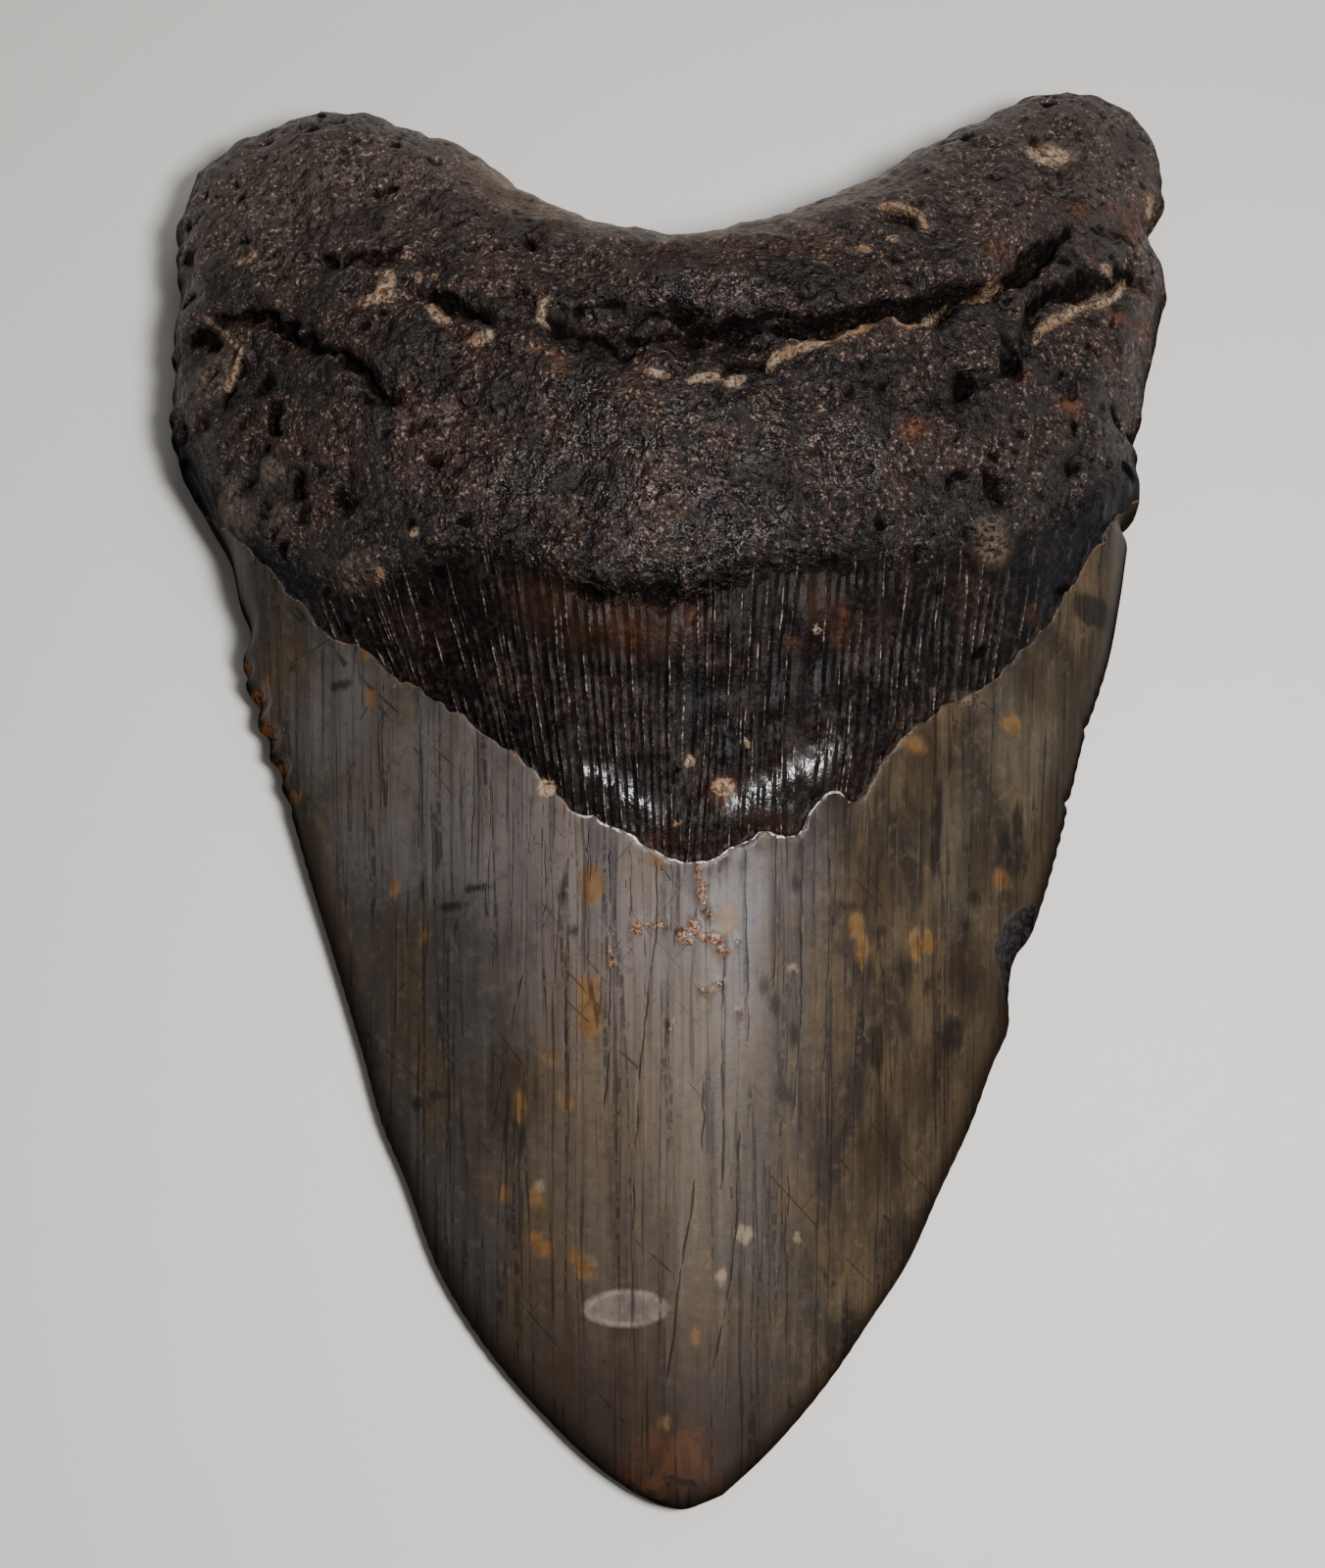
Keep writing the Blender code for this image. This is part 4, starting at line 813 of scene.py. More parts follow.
def lingual_relief(x, y):
    """What rises from the vault of the lingual face, or is cut into it."""
    over_ledge = above(x, y, ROOT_LEDGE)
    over_enamel = over_enamel_rim(x, y)
    stray_x, stray_y = strayed(x, y)
    ledge_width = STEP_WIDTH + LEDGE_SPREAD * (1 - bell(x, LEDGE_STEEP_TO))
    root = step_up(over_ledge + layered(x, y, LEDGE_STRAY, SEED["ledge"]), ledge_width)
    ragged_root = step_up(over_ledge + layered(x, y, FLAKED_STRAY, SEED["ledge"]), FLAKED_EDGE)
    crown = 1 - step_up(over_enamel, STEP_WIDTH)
    ledge = LEDGE_HEIGHT * step_up(LEDGE_REACH - np.abs(x), LEDGE_FADE)
    relief = root * ledge + crown * ENAMEL_HEIGHT - ledge / 2
    relief -= carved(stray_x, stray_y, GROOVES + FINE_GROOVES) + carved(x, y, CHANNEL)
    relief -= pits(stray_x, stray_y) + fine_pits(stray_x, stray_y)
    relief += ragged_root * (flaked(stray_x, stray_y) - open_share(x, y) * root_pores(stray_x, stray_y))
    relief += root * layered(x, y, ROOT_LUMPS, SEED["root lumps"])
    rough = (BAND_ROUGHNESS + (1 - BAND_ROUGHNESS) * ragged_root) * (1 - crown)
    relief += rough * layered(x, y, FINE_LUMPS, SEED["fine lumps"])
    relief += (1 - np.maximum(root, crown)) * RIB_HEIGHT * rib_shape(x, y)
    relief += crown_relief(x, y, over_enamel)
    relief -= EDGE_CHIP_DEPTH * step_up(-mark_field(x, y, EDGE_CHIPS), EDGE_CHIP_WALL)
    uneven = 1 + layered(x, y, CHIP_UNEVEN, SEED["chip"])
    return relief - CHIP_DEPTH * uneven * chip_share(stray_x, stray_y)


def lingual_vault(x, y):
    """The height of the lingual face without its rounded rim and its relief."""
    across, section = section_at(x, y)
    middle, side, flatten = section[:, 0], section[:, 1], section[:, 2]
    return side + (middle - side) * (1 - across**2) * (1 - flatten * across**2)


def labial_face(x, y):
    """The height of the labial face without its rounded rim. It is cut flat where it rests."""
    across, section = section_at(x, y)
    lift, hollow = section[:, 6], section[:, 7]
    curved = lift * np.abs(across) ** LABIAL_TURN + hollow * (1 - across**2) ** 2
    root = step_up(above(x, y, LABIAL_EDGE), STEP_WIDTH)
    spacing, radius, depth = LABIAL_PORES
    rough = LABIAL_STEP + layered(x, y, LABIAL_LUMPS, SEED["labial lumps"])
    curved += root * (rough + depth * pores(x, y, spacing, radius, SEED["labial pores"]))
    return np.maximum(curved - RESTING_CUT, 0.0)


def rise_and_drop(x, y, inside):
    """The heights of the lingual and the labial face at points this far inside the outline."""
    section = section_at(x, y)[1]
    rim, round_above, round_below = section[:, 3], section[:, 4], section[:, 5]
    rise = np.maximum(lingual_vault(x, y) + lingual_relief(x, y) - rim, LEAST_RISE)
    drop = np.maximum(rim - labial_face(x, y), LEAST_RISE)
    return rim + rise * rounding(inside, round_above), rim - drop * rounding(inside, round_below)


def crowded(share):
    """Even steps moved closer together near both ends."""
    return share - CROWDING * np.sin(2 * np.pi * share) / (2 * np.pi)


def coordinates(mesh):
    """The places of a mesh's vertices."""
    points = np.empty(len(mesh.vertices) * 3)
    mesh.vertices.foreach_get("co", points)
    return points.reshape(-1, 3)


def in_outline(points):
    """Places on the mesh as x, y and z in the outline's own millimetres."""
    points = np.array(points) / MM
    return points[:, 0] + MIDDLE[0], points[:, 1] + MIDDLE[1], points[:, 2]


def dense_mesh():
    """Two fine grids, one for each face, laid over the outline and welded at the rim."""
    bm = bmesh.new()
    for _ in range(2):
        bmesh.ops.create_grid(bm, x_segments=COLUMNS, y_segments=ROWS, size=1.0)
    mesh = bpy.data.meshes.new("dense")
    bm.to_mesh(mesh)
    bm.free()
    points = coordinates(mesh).reshape(2, -1, 3)
    u = (points[0, :, 0] + 1) / 2
    v = (1 - points[0, :, 1]) / 2
    on_rim = (np.minimum(u, v) < RIM_MARGIN) | (np.maximum(u, v) > 1 - RIM_MARGIN)
    plan = plan_of(crowded(u), crowded(v))
    inside = inside_rim(plan[:, 0], plan[:, 1])
    inside[on_rim] = 0.0
    points[:, :, :2] = plan - MIDDLE
    points[0, :, 2], points[1, :, 2] = rise_and_drop(plan[:, 0], plan[:, 1], inside)
    mesh.vertices.foreach_set("co", points.ravel() * MM)
    bm = bmesh.new()
    bm.from_mesh(mesh)
    labial = [face for face in bm.faces if face.verts[0].index >= len(plan)]
    bmesh.ops.reverse_faces(bm, faces=labial)
    bmesh.ops.remove_doubles(bm, verts=bm.verts, dist=WELD_DISTANCE)
    bm.to_mesh(mesh)
    bm.free()
    return mesh


def thinned(mesh, triangles):
    """The mesh with its flattest triangles merged until this many are left."""
    carrier = bpy.data.objects.new("carrier", mesh)
    bpy.context.scene.collection.objects.link(carrier)
    fewer = carrier.modifiers.new("fewer_faces", "DECIMATE")
    fewer.ratio = triangles / (2 * len(mesh.polygons))
    fewer.use_collapse_triangulate = True
    done = carrier.evaluated_get(bpy.context.evaluated_depsgraph_get())
    thin = bpy.data.meshes.new_from_object(done)
    bpy.data.objects.remove(carrier, do_unlink=True)
    return thin


def refined(mesh):
    """The mesh with the long edges of the enamel split, so that its curve and its marks stay smooth."""
    bm = bmesh.new()
    bm.from_mesh(mesh)
    for _ in range(2):
        known = len(bm.verts)
        x, y, z = in_outline([vert.co for vert in bm.verts])
        rim = section_at(x, y)[1][:, 3]
        smooth = (z > rim + SPLIT_ABOVE) & (inside_rim(x, y) > SPLIT_INSIDE)
        long_edges = [
            edge for edge in bm.edges
            if smooth[edge.verts[0].index] and smooth[edge.verts[1].index]
            and edge.calc_length() > LONGEST_EDGE * MM
        ]
        bmesh.ops.subdivide_edges(bm, edges=long_edges, cuts=1)
        bmesh.ops.triangulate(bm, faces=[face for face in bm.faces if len(face.verts) > 3])
        bm.verts.ensure_lookup_table()
        bm.verts.index_update()
        new = [vert for vert in bm.verts if vert.index >= known]
        if not new:
            break
        x, y, _ = in_outline([vert.co for vert in new])
        top, _ = rise_and_drop(x, y, inside_rim(x, y))
        for vert, height in zip(new, top):
            vert.co.z = height * MM
    bm.to_mesh(mesh)
    bm.free()
    mesh.shade_smooth()
    return mesh


def store(mesh, name, values):
    """Keeps one value for each vertex under a name that the material reads."""
    attribute = mesh.attributes.new(name, "FLOAT", "POINT")
    attribute.data.foreach_set("value", np.asarray(values, np.float32))


def hollow_shade_share(x, y):
    """How deep in a groove, pit or pore of the root each point lies. It is about 1 at their bottoms, and the
    material paints shade by it.
    """
    stray = strayed(x, y)
    hollow = np.maximum(carved(*stray, GROOVES), 0) / 2.6
    hollow += 1.3 * np.maximum(carved(*stray, FINE_GROOVES), 0)
    hollow += np.maximum(pits(*stray), 0) / 2 + fine_pits(*stray)
    return hollow + 1.5 * open_share(x, y) * root_pores(*stray)


def mark_zones(mesh):
    """Stores the distances that the material needs to tell the root, bourlette, crown and marks apart."""
    x, y, z = in_outline(coordinates(mesh))
    lingual = z >= section_at(x, y)[1][:, 3] - RIM_SLACK
    labial_line = above(x, y, LABIAL_EDGE)
    side, crack, strength = crack_fields(x, y)
    store(mesh, "root_mm", np.where(lingual, above(x, y, ROOT_LEDGE), labial_line))
    store(mesh, "enamel_mm", np.where(lingual, over_enamel_rim(x, y), labial_line))
    store(mesh, "rib_place", rib_place(x, y))
    store(mesh, "inside_mm", inside_rim(x, y))
    store(mesh, "hollow", np.where(lingual, hollow_shade_share(x, y), 0.0))
    store(mesh, "crack_side", np.where(lingual, side, FAR))
    store(mesh, "crack_mm", np.where(lingual, crack, FAR))
    store(mesh, "crack_strength", strength)
    store(mesh, "chip", np.where(lingual, chip_share(*strayed(x, y)), 0.0))
    fields = {name: mark_field(x, y, marks) for name, marks in MARKS.items()}
    fields["tan"] = np.minimum(mark_field(x, y, TAN_MARKS), band_field(x, y, TAN_BANDS))
    fields["polished"] = np.minimum(band_field(x, y, POLISHED), mark_field(x, y, SHINY_MARKS))
    for name, field in fields.items():
        store(mesh, name + "_mm", np.where(lingual, field, FAR))


def linear(colour, share=1.0):
    """A display colour, given from 0 to 255, as the linear colour of a shader, or as a share of it."""
    parts = np.array(colour) / 255.0
    light = np.where(parts <= 0.04045, parts / 12.92, ((parts + 0.055) / 1.055) ** 2.4)
    return (*(share * light), 1.0)


class Nodes:
    """Short calls that add nodes to a material. Each returns an output, and takes outputs or plain values."""

    def __init__(self, material):
        material.use_nodes = True
        self.tree = material.node_tree
        self.shader = self.tree.nodes["Principled BSDF"]
        self.place = self.stretch(self.add("TexCoord").outputs["Object"], (1 / MM, 1 / MM, 1 / MM))

    def add(self, kind, **settings):
        node = self.tree.nodes.new("ShaderNode" + kind)
        for name, value in settings.items():
            setattr(node, name, value)
        return node

    def put(self, socket, value):
        """Links an output to a socket, or sets the socket to a number, a display colour or a linear one."""
        if isinstance(value, bpy.types.NodeSocket):
            self.tree.links.new(value, socket)
        elif socket.type == "RGBA" and len(value) == 3:
            socket.default_value = linear(value)
        else:
            socket.default_value = value

    def math(self, operation, *values):
        node = self.add("Math", operation=operation)
        for socket, value in zip(node.inputs, values):
            self.put(socket, value)
        return node.outputs[0]

    def chain(self, operation, values):
        result = values[0]
        for value in values[1:]:
            result = self.math(operation, result, value)
        return result

    def times(self, *values):
        return self.chain("MULTIPLY", values)

    def plus(self, *values):
        return self.chain("ADD", values)

    def minus(self, value, taken):
        return self.math("SUBTRACT", value, taken)

    def most(self, *values):
        return self.chain("MAXIMUM", values)

    def less(self, value):
        """One less the value."""
        return self.minus(1.0, value)

    def unsigned(self, value):
        """The value without its sign."""
        return self.math("ABSOLUTE", value)

    def moved(self, value, share, added):
        """A share of the value, added to another value."""
        return self.math("MULTIPLY_ADD", value, share, added)

    def off_whole(self, value):
        """How far a number is from the nearest whole one."""
        return self.math("PINGPONG", value, 0.5)

    def mix(self, share, low, high):
        node = self.add("Mix", data_type="RGBA")
        self.put(node.inputs[0], share)
        self.put(node.inputs[6], low)
        self.put(node.inputs[7], high)
        return node.outputs[2]

    def layers(self, base, *layers):
        """A colour with others laid over it in turn, each given as its share and the colour."""
        for share, layer in layers:
            base = self.mix(share, base, layer)
        return base

    def blend(self, share, low, high):
        """A number between two others."""
        node = self.add("Mix", data_type="FLOAT")
        self.put(node.inputs[0], share)
        self.put(node.inputs[2], low)
        self.put(node.inputs[3], high)
        return node.outputs[0]

    def step(self, value, low, high, start=0.0, end=1.0):
        """From start to end as the value goes from low to high."""
        node = self.add("MapRange", interpolation_type="SMOOTHSTEP")
        for socket, given in zip(node.inputs, (value, low, high, start, end)):
            self.put(socket, given)
        return node.outputs[0]

    def under(self, value, limit, soft):
        """One where the value is under the limit, fading to none over twice the soft width."""
        return self.step(value, limit - soft, limit + soft, 1.0, 0.0)

    def line(self, away, width, core=0.03):
        """One on a thin line, from the distance to it and half its width."""
        return self.step(self.minus(away, width), -core, LINE_BLUR, 1.0, 0.0)

    def stored(self, name):
        return self.add("Attribute", attribute_name=name).outputs["Fac"]

    def stretch(self, vector, scale):
        node = self.add("VectorMath", operation="MULTIPLY")
        self.put(node.inputs[0], vector)
        self.put(node.inputs[1], scale)
        return node.outputs[0]

    def noise(self, vector, size, detail=2.0, rough=0.5, twist=0.0):
        """Random clouds of about this size in millimetres, mostly from 0.3 to 0.7."""
        node = self.add("TexNoise")
        self.put(node.inputs["Vector"], vector)
        self.put(node.inputs["Scale"], 1.0 / size)
        self.put(node.inputs["Detail"], detail)
        self.put(node.inputs["Roughness"], rough)
        self.put(node.inputs["Distortion"], twist)
        return node.outputs["Fac"]

    def drawn_out(self, y, z, size, detail=2.0, rough=0.5, twist=0.0):
        """Clouds drawn out along the tooth. A small share of y or z makes them long that way."""
        return self.noise(self.stretch(self.place, (1.0, y, z)), size, detail, rough, twist)


class FossilNodes(Nodes):
    """The nodes of the fossil's material, with the clouds, zones and lines that its layers share."""

    def __init__(self, material):
        super().__init__(material)
        self.add_clouds()
        self.add_zones()
        self.add_ribs()
        self.add_cracks()

    def add_clouds(self):
        """Clouds from fine to wide, and streaks along the crown."""
        place = self.place
        apart = self.add("SeparateXYZ")
        self.put(apart.inputs[0], place)
        self.x, self.y = apart.outputs[0], apart.outputs[1]
        self.sideways = self.unsigned(self.x)
        self.fine = self.noise(place, 0.3, 1.0)
        self.grain = self.noise(place, 0.34, 2.0, 0.55)
        self.ragged = self.noise(place, 0.6, 4.0, 0.65)
        self.coarse = self.noise(place, 1.0, 3.0, 0.55)
        self.mottle = self.noise(place, 4.5, 3.0, 0.6, 0.4)
        self.wide = self.noise(place, 14.0)
        self.streak = self.drawn_out(0.03, 0.06, 0.42)
        self.broad_streak = self.drawn_out(0.06, 0.1, 1.5, 3.0, 0.6)
        self.stain = self.drawn_out(0.35, 0.5, 4.5, 4.0, 0.65, 0.5)
        self.wander = self.moved(self.ragged, 1.6, -0.8)
        self.long_wander = self.moved(self.drawn_out(0.09, 0.2, 0.8, 4.0, 0.7), 2.4, -1.2)

    def add_zones(self):
        """Where the root, the crown and the special places of the surface are, each from 0 to 1."""
        self.inside = self.stored("inside_mm")
        self.over_ledge = self.stored("root_mm")
        self.root = self.step(self.moved(self.coarse, 4.0, self.minus(self.over_ledge, 2.0)), -0.9, 0.9)
        over_rim = self.moved(self.ragged, 0.16, self.minus(self.stored("enamel_mm"), 0.08))
        self.crown = self.step(over_rim, 0.05, -0.05)
        self.not_crown = self.less(self.crown)
        # The share deep in a groove, pit or pore: the colours paint shade there.
        self.hollow = self.step(self.stored("hollow"), 0.22, 0.95)
        self.chip = self.step(self.stored("chip"), 0.05, 0.16)
        self.polished = self.mark("polished", 1.6, 0.8)
        self.flake = self.mark("flake", 0.5, 0.1)
        worn = self.less(self.times(self.step(self.grain, 0.5, 0.36), 0.75))
        self.tan = self.times(self.mark("tan", 1.0, 0.14), worn)
        self.pore = self.step(self.noise(self.place, 0.6, 2.0, 0.6), 0.42, 0.3)
        patchy = self.step(self.mottle, 0.35, 0.6, 0.4, 1.0)
        self.soft_grain = self.times(self.step(self.ragged, 0.48, 0.62), patchy)
        # The thin line along the enamel's rim: a painted glint in the middle, the rim's own pale edge at the
        # sides.
        rim_width = self.step(self.sideways, 9.0, 15.0, 0.1, 0.05)
        rim = self.line(self.unsigned(self.plus(over_rim, 0.06)), rim_width)
        self.rim = self.times(rim, self.step(self.coarse, 0.46, 0.54), self.step(self.ragged, 0.42, 0.5))

    def add_ribs(self):
        """The thin broken ribs of the bourlette, pale from their own worn tan and from painted glints, and
        the rounded ridges between them.
        """
        self.rib_wander = self.moved(self.drawn_out(0.35, 0.3, 1.2, 2.0, 0.6), 0.24, -0.12)
        rib_at = self.plus(self.stored("rib_place"), self.rib_wander)
        thick = self.step(self.drawn_out(0.3, 0.3, 0.7, 2.0, 0.6), 0.35, 0.65, -0.005, 0.07)
        ribs = []
        for offset, (patchy, low, high) in zip(RIB_OFFSETS, RIB_BREAKS):
            away = self.times(self.off_whole(self.plus(rib_at, WHOLE + offset)), RIB_SPACING)
            shown = self.step(self.drawn_out(0.14, 0.14, patchy, 1.0), low, high)
            ribs.append(self.times(self.line(away, thick, 0.02), shown))
        self.band_end = self.step(self.sideways, 26.0, 33.0)
        self.ribs = self.times(self.most(*ribs), self.less(self.band_end))
        self.ridges = self.off_whole(self.moved(rib_at, 2.0, 4 * WHOLE))

    def add_cracks(self):
        """The placed cracks of the enamel, and with them its hairlines, fine lines and slanting scratches."""
        away = self.unsigned(self.moved(self.wander, 0.07, self.stored("crack_side")))
        uneven = self.step(self.drawn_out(0.09, 0.2, 0.35), 0.36, 0.62, -0.01, 0.085)
        crack = self.line(away, self.times(self.stored("crack_strength"), uneven))
        self.placed_cracks = self.times(crack, self.under(self.stored("crack_mm"), 0.5, 0.1))
        hair = self.level_line(self.drawn_out(0.03, 0.04, 1.4), 0.014, 0.01)
        hair = self.times(hair, self.step(self.coarse, 0.38, 0.54), 0.75)
        line_at = self.plus(self.moved(self.x, ENAMEL_LINES, self.times(self.broad_streak, 1.6)),
                            self.times(self.rib_wander, 0.3))
        lines = self.step(self.off_whole(self.plus(line_at, 3 * WHOLE)), 0.035, 0.1, 1.0, 0.0)
        lines = self.times(lines, self.step(self.drawn_out(0.09, 0.2, 1.1, 1.0), 0.48, 0.6, 0.0, 0.7))
        scratches = []
        for slope, least in SCRATCHES:
            slanted = self.add("CombineXYZ")
            self.put(slanted.inputs[0], self.moved(self.y, slope, self.x))
            self.put(slanted.inputs[1], self.times(self.moved(self.x, -slope, self.y), 0.05))
            scratch = self.level_line(self.noise(slanted.outputs[0], 6.0, 0.0), 0.003, 0.0025)
            scratched = self.step(self.mottle, least, least + 0.06)
            scratches.append(self.times(scratch, scratched, self.step(self.stain, 0.42, 0.5), 0.8))
        self.cracks = self.most(self.placed_cracks, hair, lines, *scratches)

    def level_line(self, clouds, reach, soft):
        """A thin line along the middle level of some clouds."""
        return self.under(self.unsigned(self.minus(clouds, 0.5)), reach, soft)

    def mark(self, name, share=1.0, soft=0.12, wander=None):
        """One inside the marks of a name, whose borders wander by a share of some clouds."""
        wander = self.wander if wander is None else wander
        field = self.moved(wander, share, self.stored(name + "_mm"))
        return self.under(field, 0.0, soft)


def root_colour(n):
    """Dark and granular, with pale grains, partly painted glints, and small black pores, browner where it is
    worn, and with painted shade in its hollows.
    """
    basal = n.times(n.step(n.moved(n.mottle, 16.0, n.y), 42.0, 58.0), n.step(n.x, 22.0, -4.0, 0.45, 0.8))
    dusty = n.times(n.under(n.inside, 4.5, 3.5), n.step(n.sideways, 24.0, 10.0))
    shaded = n.times(n.step(n.x, -6.0, 14.0), n.step(n.moved(n.mottle, 10.0, n.y), 44.0, 34.0))
    margin = n.step(n.moved(n.coarse, 3.0, n.over_ledge), 6.5, 2.0)
    # Pale grains: partly pale flecks of the root, partly painted glints.
    pale_fleck_and_glint = n.times(n.step(n.fine, 0.56, 0.7), n.step(n.ragged, 0.5, 0.62), n.step(n.mottle, 0.38, 0.56))
    dust = n.blend(basal, 0.5, 1.0)
    return n.layers(
        n.mix(n.step(n.coarse, 0.35, 0.65), (14, 10, 9), (35, 25, 22)),
        (n.step(n.mottle, 0.46, 0.62, 0.0, 0.7), (48, 31, 20)),
        (n.step(n.wide, 0.45, 0.65, 0.0, 0.4), (28, 23, 23)),
        (basal, n.mix(n.coarse, (42, 35, 32), (90, 78, 70))),
        (n.times(dusty, n.step(n.mottle, 0.4, 0.6, 0.4, 1.0)), (128, 97, 70)),
        (n.times(shaded, 0.4), (8, 6, 6)),
        (n.times(margin, n.step(n.sideways, 34.0, 22.0), 0.7), (9, 6, 5)),
        (n.times(n.pore, 0.8), (5, 4, 4)),
        (n.times(n.soft_grain, dust, 0.6), (86, 66, 57)),
        (n.times(pale_fleck_and_glint, dust, 0.9), (164, 139, 124)),
        # Painted shade deep in the grooves, pits and pores.
        (n.times(n.hollow, 0.82), (7, 5, 5)),
    )


def band_colour(n):
    """The bourlette: near-black, with brown patches and pale ribs that are partly painted glints, greyer at
    its ends, and with painted shade in its hollows.
    """
    # The pale ribs: partly their own worn tan, partly painted glints.
    rib_tan_and_glint_colour = n.mix(n.step(n.grain, 0.42, 0.62), (60, 47, 40), (152, 135, 122))
    return n.layers(
        n.mix(n.step(n.mottle, 0.42, 0.68), (6, 4, 4), (22, 13, 10)),
        (n.step(n.broad_streak, 0.55, 0.7, 0.0, 0.4), (32, 24, 21)),
        (n.times(n.band_end, 0.8), (17, 18, 23)),
        (n.times(n.soft_grain, 0.25), (70, 58, 50)),
        (n.times(n.ribs, n.step(n.coarse, 0.38, 0.62, 0.25, 0.85)), rib_tan_and_glint_colour),
        # Painted shade deep in the grooves and pits.
        (n.times(n.hollow, 0.8), (4, 3, 3)),
    )


def enamel_colour(n):
    """Grey enamel, lighter along its middle, partly its own paler tone and partly painted highlight of the
    key light's broad sheen, and lighter below the bourlette; dark and browner elsewhere, and darker along its
    rim, partly painted shade.
    """
    # The lighter middle: partly the enamel's own paler tone, partly painted highlight where the key light's
    # broad sheen falls along the crown.
    centre = n.step(n.moved(n.mottle, 9.0, n.unsigned(n.plus(n.x, 2.3))), 21.5, 7.5)
    upper = n.step(n.moved(n.mottle, 10.0, n.y), -42.0, -12.0)
    light = n.times(centre, n.blend(upper, 0.45, 1.0))
    right = n.step(n.moved(n.mottle, 8.0, n.x), 9.0, 18.0)
    brown_stain = n.mix(n.step(n.stain, 0.38, 0.6), (34, 24, 13), (73, 60, 43))
    pale_enamel = n.mix(n.step(n.x, -4.0, 4.0), (86, 81, 79), (74, 68, 57))
    side_colour = n.layers(
        n.mix(n.step(n.stain, 0.4, 0.6), (51, 48, 46), (54, 46, 37)),
        (n.times(right, 0.8), brown_stain),
        (n.times(n.mark("light", 3.5, 3.0), 0.8), pale_enamel),
    )
    pale_and_sheen_colour = n.layers(
        n.mix(n.step(n.broad_streak, 0.4, 0.62), (91, 83, 83), (101, 91, 85)),
        (n.step(n.y, -14.0, -34.0), (88, 74, 60)),
    )
    low = n.step(n.moved(n.mottle, 8.0, n.moved(n.x, 0.3, n.y)), -40.0, -54.0)
    # Darker brown along the right rim: partly the edge's own brown tone, partly painted shade over the
    # rounding that catches grazing light.
    brown_and_shaded_margin = n.times(n.step(n.x, 18.0, 25.0), n.under(n.inside, 2.4, 0.7))
    # Darker along the whole rim, wider on the left: partly dark wear of the edge, partly painted shade on the
    # flank away from the key light.
    worn_and_shaded_edge = n.step(n.inside, n.step(n.x, -10.0, 10.0, 2.6, 1.6), 0.2)
    return n.layers(
        n.mix(light, side_colour, pale_and_sheen_colour),
        (n.step(n.stain, 0.48, 0.68, 0.0, 0.4), (76, 60, 40)),
        (n.step(n.broad_streak, 0.5, 0.34, 0.0, 0.34), (44, 38, 34)),
        (n.step(n.streak, 0.52, 0.66, 0.0, 0.26), (28, 24, 22)),
        (n.times(n.step(n.streak, 0.44, 0.3), n.blend(light, 0.3, 1.0), 0.22), (114, 104, 96)),
        (n.step(n.coarse, 0.52, 0.7, 0.0, 0.18), (104, 92, 78)),
        (n.step(n.coarse, 0.46, 0.3, 0.0, 0.26), (32, 28, 25)),
        (n.step(n.ragged, 0.44, 0.32, 0.0, 0.24), (30, 26, 23)),
        (n.times(low, 0.88), n.mix(n.stain, (22, 17, 15), (52, 41, 33))),
        (n.times(n.mark("umber", 3.0, 1.8, n.long_wander), 0.6), (34, 24, 15)),
        (n.times(brown_and_shaded_margin, 0.6), (46, 36, 26)),
        (n.times(worn_and_shaded_edge, 0.8), (26, 20, 16)),
    )


def scar_colour(n, scar_at):
    """The shell's scar: chalky, darker in its middle, with a paler ring."""
    middle = n.times(n.under(scar_at, -1.2, 0.5), n.step(n.x, -5.0, -2.6), 0.6)
    ring = n.under(n.unsigned(n.plus(scar_at, 0.4)), 0.2, 0.25)
    ring = n.times(ring, n.step(n.x, -0.5, -4.0, 0.25, 0.8), n.step(n.coarse, 0.36, 0.5, 0.4, 1.0))
    return n.layers(
        n.mix(n.step(n.coarse, 0.35, 0.65), (88, 78, 72), (108, 96, 88)),
        (middle, (58, 54, 54)),
        (ring, (136, 120, 106)),
    )


def crown_colour(n):
    """The enamel with its tip, stains, chips, scar, rust flakes and cracks, and the line of its rim, a
    painted glint in the middle and pale tan at the sides.
    """
    tip_colour = n.mix(n.step(n.stain, 0.38, 0.62), (54, 34, 23), (88, 55, 34))
    orange_colour = n.mix(n.step(n.coarse, 0.35, 0.65), (78, 60, 38), (110, 86, 54))
    orange_core = n.under(n.moved(n.wander, 0.4, n.stored("orange_mm")), -0.2, 0.3)
    edge_colour = n.mix(n.step(n.ragged, 0.42, 0.56), (20, 14, 12), (112, 72, 40))
    scar_at = n.moved(n.wander, 0.25, n.stored("scar_mm"))
    flake_colour = n.mix(n.step(n.grain, 0.42, 0.6), (72, 46, 33), (130, 96, 74))
    chip_colour = n.mix(n.step(n.ragged, 0.42, 0.6), (13, 10, 12), (42, 36, 37))
    # Near white in the middle of the rim line, a painted glint; tan at the sides, the enamel's broken edge.
    off_centre = n.step(n.unsigned(n.plus(n.x, -3.0)), 9.0, 12.0)
    glint_and_rim_colour = n.mix(off_centre, (236, 226, 218), (112, 84, 64))
    return n.layers(
        enamel_colour(n),
        (n.times(n.mark("tip", 3.0, 1.8), 0.6), tip_colour),
        (n.times(n.mark("orange", 0.8, 0.4, n.long_wander), 0.65), orange_colour),
        (n.times(orange_core, 0.36), (106, 66, 28)),
        (n.times(n.mark("cream", 0.6, 0.3), 0.75), (130, 114, 94)),
        (n.times(n.mark("edge_chip", 0.7, 0.2), 0.85), edge_colour),
        (n.times(n.under(scar_at, 0.0, 0.2), 0.85), scar_colour(n, scar_at)),
        (n.times(n.mark("dark", 0.8, 0.4, n.long_wander), 0.75), (15, 12, 12)),
        (n.flake, flake_colour),
        (n.times(n.cracks, 0.85), (13, 11, 11)),
        (n.chip, chip_colour),
        (n.times(n.rim, 0.85), glint_and_rim_colour),
    )


